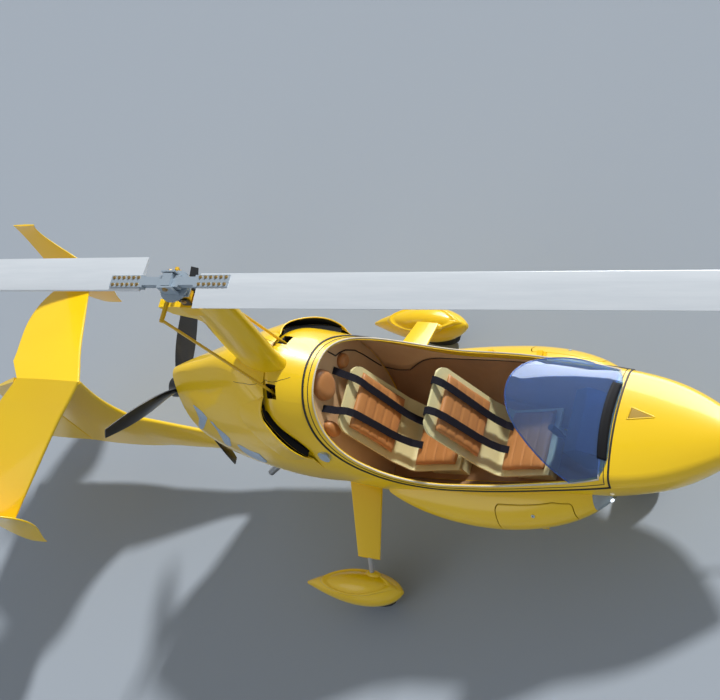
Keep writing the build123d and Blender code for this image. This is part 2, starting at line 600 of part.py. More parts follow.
# Columns: z, trailing x, trailing radius, widest x, half thickness, leading x, leading radius.
FIN_TABLE = [
    (238, -2440, 6, -1900, 34, -1560, 16),
    (560, -2396, 6, -1950, 34, -1655, 16),
    (760, -2368, 6, -1980, 33, -1740, 14),
    (980, -2337, 6, -1980, 32, -1757, 13),
    (1200, -2306, 6, -1970, 30, -1716, 12),
]


def fin_loft(inset=0.0):
    wires = [egg_wire(lambda u, v, z=row[0]: (v, u, z), *row[1:], inset=inset) for row in FIN_TABLE]
    return Solid.make_loft(wires, False)


def hinge_x(z):
    """The rudder's hinge line, as x at a height."""
    share = (z - HINGE_LOW[1]) / (HINGE_TOP[1] - HINGE_LOW[1])
    return HINGE_LOW[0] + share * (HINGE_TOP[0] - HINGE_LOW[0])


RUDDER_NOSE = 17.0
rear_gap = RUDDER_NOSE + MOVE_GAP
behind = [(hinge_x(100) + rear_gap, 100), (hinge_x(1400) + rear_gap, 1400), (-3000, 1400), (-3000, 100)]
behind_hinge = side_slab(make_face(Wire(Polyline(*behind, close=True))), 120)
inner_behind = Pos(TAIL_SKIN, 0, 0) * behind_hinge

# Tailplane: two drooping halves that meet in a crease on the fin, notched at the back for the
# rudder. Columns: y, leading x and z, trailing x and z, half thickness.
STAB_INNER = [
    (0, -1724, 1200, -2220, 1236, 20),
    (140, -1806, 1153, -2345, 1190, 19),
]
STAB_OUTER = [
    (140, -1806, 1153, -2345, 1190, 19),
    (320, -1911, 1091, -2404, 1126, 18),
    (516, -2010, 1023, -2451, 1058, 16),
    (690, -2098, 962, -2439, 990, 13),
    (852, -2178, 905, -2360, 921, 9),
]
# Columns: z, trailing x, leading x, middle y, half thickness.
WINGLET_TABLE = [
    (585, -2297, -2155, 863, 5),
    (708, -2378, -2109, 854, 8),
    (853, -2400, -2045, 849, 10),
    (1180, -2412, -2140, 908, 9),
    (1500, -2419, -2236, 966, 6),
]


def winglet_solid():
    wires = []
    for z, trail, lead, y, half in WINGLET_TABLE:
        chord = lead - trail
        wires.append(egg_wire(lambda u, v, y=y, z=z: (v, y + u, z),
                              trail, half * 0.3, trail + 0.6 * chord, half, lead, half * 0.6))
    return Solid.make_loft(wires, False)


winglet = winglet_solid()
inner_half = Solid.make_loft([chord_wire(*row, widest=0.62) for row in STAB_INNER], True)
outer_half = Solid.make_loft([chord_wire(*row, widest=0.62) for row in STAB_OUTER], False)
core = []
for y, lead_x, lead_z, trail_x, trail_z, half in (STAB_INNER[0], STAB_INNER[1], *STAB_OUTER[1:4]):
    core.append(chord_wire(y, lead_x - 26, lead_z, trail_x + 70, trail_z, half - TAIL_SKIN, nose=0.6))
core = Solid.make_loft(core, True)
stab_solid = inner_half + outer_half - winglet
stabiliser = stab_solid - core
nodes["stabiliser_left"] = stabiliser
nodes["stabiliser_right"] = mirror_y(stabiliser)
nodes["winglet_left"] = winglet
nodes["winglet_right"] = mirror_y(winglet)

rudder_low_z = 247.0
lug_low = box(hinge_x(234) - 14, hinge_x(234) + 60, -12, 12, 230, rudder_low_z - MOVE_GAP)
lug_top = box(hinge_x(1198) - 10, hinge_x(1198) + 50, -10, 10, 1192, 1204)
fin = (fin_loft() - behind_hinge) - (fin_loft(TAIL_SKIN) - inner_behind)
boom_outer = hull_loft(BOOM_TABLE)
boom_inner = hull_loft(BOOM_TABLE, inset=TAIL_SKIN)
boom = (boom_outer - boom_inner - fin_loft(TAIL_SKIN)) + (fin - boom_inner)
boom = boom + lug_low + lug_top - stab_solid - mirror_y(stab_solid)
hinge_rod = rod((hinge_x(232), 0, 232), (hinge_x(1203), 0, 1203), HINGE_ROD_R)
nodes["tail_boom"] = boom + hinge_rod

# Rudder, with its nose round about the hinge rod. Columns: z, trailing x.
RUDDER_TABLE = [(rudder_low_z, -2815), (1240, -2510)]
rudder_wires = []
for z, trail in RUDDER_TABLE:
    x = hinge_x(z)
    rudder_wires.append(egg_wire(lambda u, v, z=z: (v, u, z),
                                 trail, 3, x, RUDDER_NOSE, x + RUDDER_NOSE + 0.2, RUDDER_NOSE - 0.5))
rudder = Solid.make_loft(rudder_wires, True)
core = []
for z, trail in ((rudder_low_z - 10, -2818), (1000, -2584)):
    x = hinge_x(z)
    core.append(egg_wire(lambda u, v, z=z: (v, u, z), trail + 140, 2, x - 60, 11.5, x - 27, 9))
rudder = rudder - Solid.make_loft(core, True)
RUDDER_TOP = [(-2190, 1252), (-2600, 1050), (-2600, 1400), (-2190, 1400)]
rudder = rudder - side_slab(make_face(Wire(Polyline(*RUDDER_TOP, close=True))), 60)
rudder = rudder - box(-2262, -2150, -60, 60, 1205, 1400)
rudder = rudder - rod((hinge_x(1186), 0, 1186), (hinge_x(1300), 0, 1300), RUDDER_NOSE + 2)
rudder = rudder - rod((hinge_x(100), 0, 100), (hinge_x(1300), 0, 1300), HINGE_ROD_R + RUN_FIT)
nodes["rudder"] = rudder
nodes["rear_hull"] = rear_hull

# Rotor head, from the mast upwards: cheeks and pitch bolt, pitch block with the control yoke,
# roll head with the bearing, rotor shaft with the ring gear and towers, teetering hub bar.
CHEEK_Y = (31.5, 41.5)
cheek = box(-30, 30, *CHEEK_Y, 2300, PITCH_AXIS_Z + 16)
cheek_foot = box(-60, 60, -50, 50, 2300, mast_top_z(0) + 40)
pitch_bolt = rod((0, -50, PITCH_AXIS_Z), (0, 50, PITCH_AXIS_Z), HEAD_BOLT_R)
nodes["mast_head"] = (both_sides(cheek) + cheek_foot + pitch_bolt) - mast_solid - beak
YOKE_T = 9.0
block = box(-30, 30, -26, 26, PITCH_AXIS_Z - 20, ROLL_AXIS_Z + 10)
yoke_arm = box(ROD_TOP[0], -20, -20, 20, PITCH_AXIS_Z - YOKE_T, PITCH_AXIS_Z + YOKE_T)
eye_in, eye_out = ROD_Y - 6, ROD_Y + 6
cross_bar = box(ROD_TOP[0] - 9, ROD_TOP[0] + 9, -eye_in + SEAT_GAP, eye_in - SEAT_GAP,
                PITCH_AXIS_Z - YOKE_T, PITCH_AXIS_Z + YOKE_T)
washer = rod((ROD_TOP[0], eye_out + SEAT_GAP, PITCH_AXIS_Z), (ROD_TOP[0], eye_out + 6, PITCH_AXIS_Z), 10)
eye_pin = rod((ROD_TOP[0], 0, PITCH_AXIS_Z), (ROD_TOP[0], eye_out + 6, PITCH_AXIS_Z), 4)
pitch_head = block + yoke_arm + cross_bar + both_sides(washer + eye_pin)
pitch_head = pitch_head - rod((0, -60, PITCH_AXIS_Z), (0, 60, PITCH_AXIS_Z), HEAD_BOLT_R + RUN_FIT)
nodes["pitch_head"] = pitch_head - rod((-60, 0, ROLL_AXIS_Z), (60, 0, ROLL_AXIS_Z), HEAD_BOLT_R + RUN_FIT)
PLATE_Z = (ROLL_AXIS_Z + 16, ROLL_AXIS_Z + 24)
SHAFT_R = 15.0
GEAR_Z = (2545.0, 2556.0)
roll_lug = box(35.5, 47.5, -22, 22, ROLL_AXIS_Z - 14, PLATE_Z[0] + 1)
roll_plate = box(-72, 72, -40, 40, *PLATE_Z)
housing = rod((0, 0, PLATE_Z[0]), (0, 0, GEAR_Z[0] - MOVE_GAP), 56)
roll_bolt = rod((-56, 0, ROLL_AXIS_Z), (56, 0, ROLL_AXIS_Z), HEAD_BOLT_R)
roll_head = roll_lug + mirror(roll_lug, Plane.YZ) + roll_plate + housing
nodes["roll_head"] = (roll_head - rod((0, 0, PLATE_Z[0] + 2), (0, 0, 2600), SHAFT_R + RUN_FIT)) + roll_bolt
GEAR_R = 92.0
GEAR_TEETH = 40
TEETER_Z = 2622.0
BAR_Z = 2598.0
TOWER_Y = (41.5, 51.5)
step = 360.0 / GEAR_TEETH
rim_points = []
for tooth in range(GEAR_TEETH):
    for share, radius in ((0.0, GEAR_R - 4), (0.28, GEAR_R - 4), (0.42, GEAR_R), (0.86, GEAR_R)):
        angle = math.radians(step * (tooth + share))
        rim_points.append((radius * math.cos(angle), radius * math.sin(angle)))
gear_face = make_face(Wire(Polyline(*rim_points, close=True)))
gear = Pos(0, 0, GEAR_Z[0]) * extrude(gear_face, GEAR_Z[1] - GEAR_Z[0])
tower = box(-46, 46, *TOWER_Y, GEAR_Z[1] - 1, TEETER_Z + 20)
teeter_bolt = rod((0, -60, TEETER_Z), (0, 60, TEETER_Z), HEAD_BOLT_R)
rotor_shaft = rod((0, 0, PLATE_Z[0] + 3), (0, 0, GEAR_Z[0] + 2), SHAFT_R)
nodes["rotor_shaft"] = gear + both_sides(tower) + teeter_bolt + rotor_shaft
STRAP = 6.0
half_slot = BLADE_THICK / 2 + SEAT_GAP
bar = box(-STRAP_END_R, STRAP_END_R, -34, 34, BAR_Z - half_slot - STRAP, BAR_Z + half_slot + STRAP)
slot = box(BLADE_ROOT_R, STRAP_END_R + 10, -60, 60, BAR_Z - half_slot, BAR_Z + half_slot)
waist = box(70, BLADE_ROOT_R - 20, 24, 60, 2500, 2700)
bar = bar - slot - mirror(slot, Plane.YZ)
bar = bar - both_sides(waist) - mirror(both_sides(waist), Plane.YZ)
teeter_block = box(-30, 30, -36, 36, BAR_Z - 20, TEETER_Z + 16)
teeter_bore = rod((0, -60, TEETER_Z), (0, 60, TEETER_Z), HEAD_BOLT_R + RUN_FIT)
nodes["hub_bar"] = bar + teeter_block - teeter_bore

# Rotor blades: rigid, with the leading edge to the left in front and to the right behind.
LEAD_Y = 50.0


def rotor_blade():
    wires = []
    for x in (BLADE_ROOT_R + 1, ROTOR_R):
        wires.append(egg_wire(lambda u, v, x=x: (x, v, BAR_Z + u), LEAD_Y - BLADE_CHORD, 2.0,
                              LEAD_Y - 0.3 * BLADE_CHORD, BLADE_THICK / 2, LEAD_Y, 8.0))
    return Solid.make_loft(wires, True)


fore_blade = rotor_blade()
nodes["blade_fore"] = fore_blade
nodes["blade_aft"] = fore_blade.rotate(Axis.Z, 180)

# Push rods from the yoke down into the shoulder holes.
run = Vector(ROD_LOW[0] - ROD_TOP[0], 0, ROD_LOW[1] - PITCH_AXIS_Z).normalized()
neck = (ROD_TOP[0] + 8 * run.X, ROD_Y, PITCH_AXIS_Z + 8 * run.Z)
push_rod = rod(neck, (ROD_LOW[0], ROD_Y, ROD_LOW[1]), ROD_R)
eye = rod((ROD_TOP[0], eye_in, PITCH_AXIS_Z), (ROD_TOP[0], eye_out, PITCH_AXIS_Z), 13)
eye_bore = rod((ROD_TOP[0], eye_in - 20, PITCH_AXIS_Z), (ROD_TOP[0], eye_out + 20, PITCH_AXIS_Z), 6)
push_rod = (push_rod & box(-200, 100, eye_in, eye_out, 1300, 2600)) + eye - eye_bore
nodes["push_rods"] = push_rod + mirror_y(push_rod)

# Small fittings: filler cap, exhaust tail pipe and pitot tube.
CAP = Vector(196, -378, 1134)
cap_out = Vector(-0.12, -0.95, 0.28).normalized()
cap = rod(CAP - cap_out * 20, CAP + cap_out * 9, 40) - tub_solid - cowl_solid
nodes["filler_cap"] = cap & rod(CAP - cap_out * 20, CAP + cap_out * 9, 40)
nodes["exhaust_pipe"] = rod((-560, -170, 470), (-740, -205, 330), 21) - cowl_solid
pitot = rod((2330, 0, 540), (2330, 0, 470), 8) + rod((2310, 0, 474), (2450, 0, 466), 7)
nodes["pitot"] = pitot - tub_outer

for name, shape in nodes.items():
    shape.label = name
    export_step(shape, f"parts/{name}.step")
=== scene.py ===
import math

import bmesh
import bpy
from mathutils import Matrix, Vector


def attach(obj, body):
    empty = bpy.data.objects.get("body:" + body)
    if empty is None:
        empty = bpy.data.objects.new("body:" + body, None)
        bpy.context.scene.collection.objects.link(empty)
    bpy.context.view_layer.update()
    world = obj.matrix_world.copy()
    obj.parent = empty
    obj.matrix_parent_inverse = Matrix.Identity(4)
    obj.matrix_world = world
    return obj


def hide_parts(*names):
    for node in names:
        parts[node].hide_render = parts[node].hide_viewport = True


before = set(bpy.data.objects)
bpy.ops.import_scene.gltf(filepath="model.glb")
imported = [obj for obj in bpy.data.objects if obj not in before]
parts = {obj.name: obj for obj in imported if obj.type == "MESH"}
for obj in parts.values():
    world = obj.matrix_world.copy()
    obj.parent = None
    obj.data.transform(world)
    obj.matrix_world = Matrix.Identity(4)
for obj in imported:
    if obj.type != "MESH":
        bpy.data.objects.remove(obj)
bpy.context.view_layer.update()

# Camera. It looks down on the aircraft from ahead and to the right, as from a machine that flies
# above and beside it. The lens shows 720 by 700 pixels with a focal length of 1937 pixels.
SENSOR_MM, LENS_MM = 36.0, 96.83
VIEW_END = 200.0
CAMERA_STAND = (
    (0.83983, -0.01568, 0.54262, 6.3257),
    (0.23869, 0.90844, -0.34316, -3.5550),
    (-0.48756, 0.41772, 0.76668, 9.7217),
    (0.0, 0.0, 0.0, 1.0))


def put(name, data):
    """Puts a camera, lamp, mesh or curve in the scene."""
    thing = bpy.data.objects.new(name, data)
    bpy.context.scene.collection.objects.link(thing)
    return thing


camera_data = bpy.data.cameras.new("camera")
camera_data.sensor_width = SENSOR_MM
camera_data.sensor_fit = "HORIZONTAL"
camera_data.lens = LENS_MM
camera_data.clip_end = VIEW_END
camera = put("camera", camera_data)
bpy.context.scene.camera = camera
camera.matrix_world = Matrix(CAMERA_STAND)
bpy.context.scene.view_settings.view_transform = "Standard"

# Floor and light: a pale painted studio floor, a key lamp high ahead on the left with a weak fill
# behind on the right, and an even pale sky, which the glossy skin mirrors.
FLOOR_HALF = 40.0
SKY_STRENGTH = 0.45
LAMPS = (("key", 156.0, 50.0, 3.4, 5.0), ("fill", -40.0, 55.0, 0.35, 40.0))
COLOUR_A, COLOUR_B, COLOUR_OUT = 6, 7, 2  # the colour sockets of a Mix node go by number


def linear(code):
    """A colour written as sRGB hex, turned to the linear numbers that a shader takes."""
    values = []
    for start in (1, 3, 5):
        v = int(code[start:start + 2], 16) / 255.0
        values.append(v / 12.92 if v <= 0.04045 else ((v + 0.055) / 1.055) ** 2.4)
    return (*values, 1.0)


def add(tree, kind, settings=None, links=None):
    """Adds a shader node. settings go to its sockets, by name or number, or to its fields."""
    node = tree.nodes.new(kind)
    for name, value in (settings or {}).items():
        if isinstance(name, int) or name in node.inputs:
            node.inputs[name].default_value = value
        else:
            setattr(node, name, value)
    for name, source in (links or {}).items():
        tree.links.new(source, node.inputs[name])
    return node


def new_material(name, **surface):
    """A material with these values on its Principled shader's own sockets.

    Returns it, its tree, the shader, and the object coordinates that a pattern is drawn in.
    """
    material = bpy.data.materials.new(name)
    material.use_nodes = True
    tree = material.node_tree
    shader = tree.nodes["Principled BSDF"]
    for socket, value in surface.items():
        shader.inputs[socket.replace("_", " ")].default_value = value
    return material, tree, shader, add(tree, "ShaderNodeTexCoord").outputs["Object"]


# Matt floor paint with no gloss, so that the lamps leave no pool of light on it.
floor_paint, *_ = new_material(
    "floor_paint", Base_Color=linear("#9DA5AE"), Roughness=0.9, Specular_IOR_Level=0.0)
floor_mesh = bpy.data.meshes.new("floor")
floor_mesh.from_pydata([(-FLOOR_HALF, -FLOOR_HALF, 0), (FLOOR_HALF, -FLOOR_HALF, 0),
                        (FLOOR_HALF, FLOOR_HALF, 0), (-FLOOR_HALF, FLOOR_HALF, 0)],
                       [], [(0, 1, 2, 3)])
floor_mesh.materials.append(floor_paint)
put("floor", floor_mesh)

world = bpy.data.worlds.new("studio")
bpy.context.scene.world = world
world.use_nodes = True
world.node_tree.nodes["Background"].inputs["Color"].default_value = linear("#E4E9F0")
world.node_tree.nodes["Background"].inputs["Strength"].default_value = SKY_STRENGTH

for lamp_name, turn, tilt, strength, spread in LAMPS:
    lamp_data = bpy.data.lights.new(lamp_name, "SUN")
    lamp_data.energy = strength
    lamp_data.angle = math.radians(spread)
    lamp = put(lamp_name, lamp_data)
    lamp.rotation_euler = (math.radians(tilt), 0.0, math.radians(turn))

# A white diffuser stands low on the far side. Only gloss shows it: the windscreen and the nose
# mirror it as a pale band.
DIFFUSER_SIDE, DIFFUSER_WATTS = 5.5, 720.0
DIFFUSER_PLACE, DIFFUSER_TILT = (2.0, 5.8, 2.9), math.radians(-65)
diffuser_data = bpy.data.lights.new("diffuser", "AREA")
diffuser_data.shape = "RECTANGLE"
diffuser_data.size, diffuser_data.size_y = DIFFUSER_SIDE, DIFFUSER_SIDE
diffuser_data.energy = DIFFUSER_WATTS
diffuser = put("diffuser", diffuser_data)
diffuser.location = DIFFUSER_PLACE
diffuser.rotation_euler = (DIFFUSER_TILT, 0.0, 0.0)
diffuser.visible_diffuse = False

# Hull shells: glass fibre laid up in moulds with a yellow gelcoat, which gives a wet gloss over a
# very slightly uneven colour. The skin's waviness is drawn at a coarse 30 mm so that it shows.
HULL_YELLOW, HULL_YELLOW_PALE = "#F2C400", "#F6CE08"


def dress(material, *names):
    """Gives CAD nodes this material."""
    for name in names:
        part = parts[name]
        if not part.material_slots:
            part.data.materials.append(material)
        for slot in part.material_slots:
            slot.material = material


def level(tree, spot, kind, settings):
    """The level of a pattern at each spot."""
    pattern = add(tree, f"ShaderNodeTex{kind}", settings, {"Vector": spot})
    return pattern.outputs["Distance" if kind == "Voronoi" else "Fac"]


def patterned(name, light, dark, tone_by, strength=0.0, depth=0.0006, relief_by=None, **surface):
    """A surface whose tone follows one pattern, and its relief that one or another."""
    material, tree, shader, spot = new_material(name, **surface)
    height = level(tree, spot, *tone_by)
    tone = add(tree, "ShaderNodeMix",
               {"data_type": "RGBA", COLOUR_A: linear(light), COLOUR_B: linear(dark)},
               {"Factor": height})
    tree.links.new(tone.outputs[COLOUR_OUT], shader.inputs["Base Color"])
    if relief_by:
        height = level(tree, spot, *relief_by)
    if strength:
        bump = add(tree, "ShaderNodeBump", {"Strength": strength, "Distance": depth},
                   {"Height": height})
        tree.links.new(bump.outputs["Normal"], shader.inputs["Normal"])
    return material


gelcoat = patterned("yellow_gelcoat", HULL_YELLOW, HULL_YELLOW_PALE,
                    ("Noise", {"Scale": 2.2, "Detail": 3.0}), 0.05, 0.002,
                    ("Noise", {"Scale": 33.0, "Detail": 1.0}),
                    Roughness=0.32, IOR=1.5, Coat_Weight=0.5, Coat_Roughness=0.05)
dress(gelcoat, "nose_shell", "mast", "canopy_frame", "tail_boom", "rudder")
for side in ("left", "right"):
    dress(gelcoat, f"pod_{side}", f"pod_hatch_{side}", f"leg_{side}", f"wheel_pant_{side}",
          f"stabiliser_{side}", f"winglet_{side}")

# The hull round the engine is painted black inside, as painted shade: faces behind the rear wall
# that look towards the hull's middle line.
INSIDE_SHADE_FRONT_X, INSIDE_SHADE_MIDDLE_Z, INSIDE_SHADE_TURN = 0.155, 0.95, -0.02
hull_skin = gelcoat.copy()
hull_skin.name = "yellow_gelcoat_painted_shade_inside"
tree = hull_skin.node_tree
shader = tree.nodes["Principled BSDF"]
yellow = shader.inputs["Base Color"].links[0].from_socket
place = add(tree, "ShaderNodeTexCoord")
spot = add(tree, "ShaderNodeSeparateXYZ", links={"Vector": place.outputs["Object"]})
facing = add(tree, "ShaderNodeSeparateXYZ", links={"Vector": place.outputs["Normal"]})
height = add(tree, "ShaderNodeMath", {"operation": "SUBTRACT", 1: INSIDE_SHADE_MIDDLE_Z},
             {0: spot.outputs["Z"]})
side_look = add(tree, "ShaderNodeMath", {"operation": "MULTIPLY"},
                {0: spot.outputs["Y"], 1: facing.outputs["Y"]})
both_look = add(tree, "ShaderNodeMath", {"operation": "MULTIPLY_ADD"},
                {0: height.outputs[0], 1: facing.outputs["Z"], 2: side_look.outputs[0]})
inward = add(tree, "ShaderNodeMath", {"operation": "LESS_THAN", 1: INSIDE_SHADE_TURN},
             {0: both_look.outputs[0]})
behind = add(tree, "ShaderNodeMath", {"operation": "LESS_THAN", 1: INSIDE_SHADE_FRONT_X},
             {0: spot.outputs["X"]})
shaded_inside = add(tree, "ShaderNodeMath", {"operation": "MULTIPLY"},
            {0: inward.outputs[0], 1: behind.outputs[0]})
# Painted shade: the inward faces behind the rear wall are mixed to near black.
coat = add(tree, "ShaderNodeMix", {"data_type": "RGBA", COLOUR_B: linear("#0C0C0D")},
           {"Factor": shaded_inside.outputs[0], COLOUR_A: yellow})
tree.links.new(coat.outputs[COLOUR_OUT], shader.inputs["Base Color"])
dress(hull_skin, "tub_shell", "engine_cowl", "rear_hull")

# Canopy edge: a black rubber seal in the gap round the opening, a thin black bead along the
# middle of the ring and a pale stone-grey trim inside its edge, all pressed on by hand.
RIM_CORNER = (1.836, 0.804)
RIM_REAR, RIM_REAR_STEP = (0.176, 1.42), 0.006
RIM_BEND, SILL_REAR = (0.407, 0.988), (0.881, 0.812)
RIM_ARCS = ((RIM_REAR, (0.233, 1.2), RIM_BEND, 26), (RIM_BEND, (0.6, 0.868), SILL_REAR, 16))
SILL_FRONT_X, SILL_DROP, SILL_STEPS = 1.83, 0.008, 24
FRONT_STEPS, FRONT_SPREAD = 14, 1.7
REAR_START, REAR_STEP, REAR_POINTS = 0.012, 0.014, 12
TOP_START, TOP_STEP, TOP_POINTS = 0.16, 0.02, 9
FRONT_LEAST_Y, CORNER_CLEAR = 0.12, 0.004
SEAL_SHIFT, SEAL_PUSH, SEAL_RADIUS = -0.0015, 0.0042, 0.0058
BEAD_SHIFT, BEAD_RADIUS = 0.028, 0.0024
TRIM_SHIFT, TRIM_PUSH, TRIM_RADIUS = 0.0535, 0.002, 0.0052


def arc_points(start, middle, end, count):
    """Points of the circular arc through three points, the last one left out."""
    (ax, ay), (bx, by), (cx, cy) = start, middle, end
    d = 2.0 * (ax * (by - cy) + bx * (cy - ay) + cx * (ay - by))
    sa, sb, sc = ax * ax + ay * ay, bx * bx + by * by, cx * cx + cy * cy
    ux = (sa * (by - cy) + sb * (cy - ay) + sc * (ay - by)) / d
    uy = (sa * (cx - bx) + sb * (ax - cx) + sc * (bx - ax)) / d
    radius = math.hypot(ax - ux, ay - uy)
    first, last = math.atan2(ay - uy, ax - ux), math.atan2(cy - uy, cx - ux)
    turn = (last - first + math.pi) % (2.0 * math.pi) - math.pi
    angles = [first + turn * i / count for i in range(count)]
    return [(ux + radius * math.cos(angle), uy + radius * math.sin(angle)) for angle in angles]


def rim_side(shift):
    """The rim seen from the side, shift into the opening: X, Z and the way in, rear to front."""
    line = [(RIM_REAR[0], RIM_REAR[1] + RIM_REAR_STEP * k) for k in range(9, 0, -1)]
    for arc in RIM_ARCS:
        line += arc_points(*arc)
    line += [(SILL_REAR[0] + (SILL_FRONT_X - SILL_REAR[0]) * k / SILL_STEPS,
              SILL_REAR[1] - SILL_DROP * k / SILL_STEPS) for k in range(SILL_STEPS + 1)]
    moved = []
    for i, (x, z) in enumerate(line):
        x0, z0 = line[max(i - 1, 0)]
        x1, z1 = line[min(i + 1, len(line) - 1)]
        run = math.hypot(x1 - x0, z1 - z0)
        nx, nz = -(z1 - z0) / run, (x1 - x0) / run
        if x + nx * shift < RIM_CORNER[0] - shift:
            moved.append((x + nx * shift, z + nz * shift, nx, nz))
    return moved


def touch(part, start, heading):
    """Where a straight line first meets a CAD node, or None."""
    hit, where, *_ = parts[part].ray_cast(Vector(start), Vector(heading).normalized())
    return where if hit else None


def top_skin(part, x, y):
    """The top of a node at x and y, or None."""
    return touch(part, (x, y, 2.0), (0, 0, -1))


def side_skin(part, x, z, sign=-1.0):
    """The outermost point of a node at x and z, on the left where sign is 1, or None."""
    return touch(part, (x, sign, z), (0, -sign, 0))


def rim_loop(shift, part, front_part, push=0.0):
    """A closed line round the opening on a node's skin, shift inside the rim, pushed on by push."""
    half = []
    for k in range(REAR_POINTS):
        found = top_skin(part, RIM_REAR[0] + shift, -REAR_START - REAR_STEP * k)
        if found and (not half or found.z < half[-1].z + 0.002):
            half.append(found + Vector((push, 0, 0)))
    low = half[-1].z if half else math.inf
    for x, z, nx, nz in rim_side(shift):
        found = side_skin(part, x, z) if z <= low - CORNER_CLEAR else None
        if found:
            half.append(found + Vector((nx * push, 0, nz * push)))
    front_x = RIM_CORNER[0] - shift
    top = top_skin(front_part, front_x, 0.0).z
    for k in range(FRONT_STEPS + 1):
        climb = 1 - (1 - k / FRONT_STEPS) ** FRONT_SPREAD
        z = RIM_CORNER[1] + shift + (top - CORNER_CLEAR - RIM_CORNER[1] - shift) * climb
        found = side_skin(front_part, front_x, z)
        if found and found.y < -FRONT_LEAST_Y:
            half.append(found + Vector((-push, 0, 0)))
    for k in range(TOP_POINTS):
        y = TOP_STEP * k - TOP_START
        found = top_skin(front_part, front_x, y)
        if found and y > half[-1].y:
            half.append(found + Vector((-push, 0, 0)))
    return half + [Vector((p.x, -p.y, p.z)) for p in reversed(half) if p.y < -CORNER_CLEAR]


def fit(name, data, material, body):
    """Puts a mesh or curve on a body as a piece, with its material."""
    data.materials.append(material)
    piece = put(name, data)
    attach(piece, body)
    return piece


def thread(name, points, radius, material, body, closed=False):
    """A round bead, cord or rolled edge along points."""
    data = bpy.data.curves.new(name, "CURVE")
    data.dimensions = "3D"
    data.bevel_depth = radius
    data.bevel_resolution = 3
    data.use_fill_caps = True
    spline = data.splines.new("POLY")
    spline.points.add(len(points) - 1)
    for point, where in zip(spline.points, points):
        point.co = (*where, 1.0)
    spline.use_cyclic_u = closed
    spline.use_smooth = True
    fit(name, data, material, body)


def grained(name, tone, rough, grains, strength=0.2, depth=0.0005, **surface):
    """A surface of one colour with a moulded or sprayed grain, so many grains to the metre."""
    material, tree, shader, spot = new_material(
        name, Base_Color=linear(tone), Roughness=rough, **surface)
    grain = add(tree, "ShaderNodeTexNoise", {"Scale": grains, "Detail": 2.0}, {"Vector": spot})
    bump = add(tree, "ShaderNodeBump", {"Strength": strength, "Distance": depth},
               {"Height": grain.outputs["Fac"]})
    tree.links.new(bump.outputs["Normal"], shader.inputs["Normal"])
    return material


# EPDM rubber, extruded: near black with a soft satin skin. Its faint grain is drawn at 1 mm.
seal_rubber = grained("seal_rubber", "#17181A", 0.55, 900.0, 0.15, 0.0004, IOR=1.52)
# Soft PVC edge trim with a faint sheen and a grain of 2 mm.
trim_vinyl = grained("grey_edge_trim", "#CBBFA6", 0.42, 420.0, 0.12)

thread("rim_seal", rim_loop(SEAL_SHIFT, "tub_shell", "nose_shell", SEAL_PUSH), SEAL_RADIUS,
       seal_rubber, "airframe", closed=True)
thread("ring_bead", rim_loop(BEAD_SHIFT, "canopy_frame", "canopy_frame"), BEAD_RADIUS,
       seal_rubber, "canopy", closed=True)
thread("ring_trim", rim_loop(TRIM_SHIFT, "canopy_frame", "canopy_frame", TRIM_PUSH), TRIM_RADIUS,
       trim_vinyl, "canopy", closed=True)

# Windscreen: blown acrylic, smoked blue-grey, screwed to the ring. A matt black band runs along
# its front foot, and its free rear edge has a bright polished bead.
FOOT_X, FOOT_SWEEP, FOOT_HALF_Y, FOOT_STEP, FOOT_STEPS = 1.821, 0.012, 0.35, 0.0125, 56
BAND_ROWS = (0.0, 0.014, 0.028, 0.042)
PAINT_LIFT = 0.0012
EDGE_TOP, EDGE_FOOT, EDGE_INSET = (1.366, 1.36), (1.64, 0.828), 0.002
EDGE_LOW_Z, EDGE_HIGH_Z, EDGE_STEPS, EDGE_LEAST_Y = 0.872, 1.342, 40, 0.006
EDGE_RADIUS = 0.0042

# Blown sheet: clear and glossy, with a long ripple of 250 mm that bends its reflections.
acrylic = grained("smoked_acrylic", "#92BCFF", 0.03, 4.0, 0.03, 0.002,
                  IOR=1.49, Transmission_Weight=0.9)
dress(acrylic, "windscreen")


def grid_faces(rows, width):
    """The quads between rows of points, width points to a row."""
    return [(r * width + c, r * width + c + 1, (r + 1) * width + c + 1, (r + 1) * width + c)
            for r in range(rows - 1) for c in range(width - 1)]


def smooth_mesh(name, points, faces):
    """A smooth-shaded mesh."""
    data = bpy.data.meshes.new(name)
    data.from_pydata([tuple(p) for p in points], [], faces)
    data.polygons.foreach_set("use_smooth", [True] * len(data.polygons))
    return data


def strip(name, rows, material, body, thickness=0.001):
    """A thin sheet through rows of points, given its thickness by a Solidify modifier."""
    data = smooth_mesh(name, [p for row in rows for p in row], grid_faces(len(rows), len(rows[0])))
    piece = fit(name, data, material, body)
    solid = piece.modifiers.new("thickness", "SOLIDIFY")
    solid.thickness = thickness
    solid.offset = 0.0
    return piece


# A matt black band on the acrylic, mottled at 17 mm.
foot_band_black = grained("black_foot_band", "#0D0F14", 0.75, 60.0, 0.08, 0.0006,
                     Specular_IOR_Level=0.25)
band = []
for k in range(FOOT_STEPS + 1):
    y = FOOT_STEP * k - FOOT_HALF_Y
    x = FOOT_X - FOOT_SWEEP * (y / FOOT_HALF_Y) ** 6
    row = [top_skin("windscreen", x - back, y) for back in BAND_ROWS]
    if all(row):
        band.append([p + Vector((0, 0, PAINT_LIFT)) for p in row])
strip("windscreen_band", band, foot_band_black, "canopy")

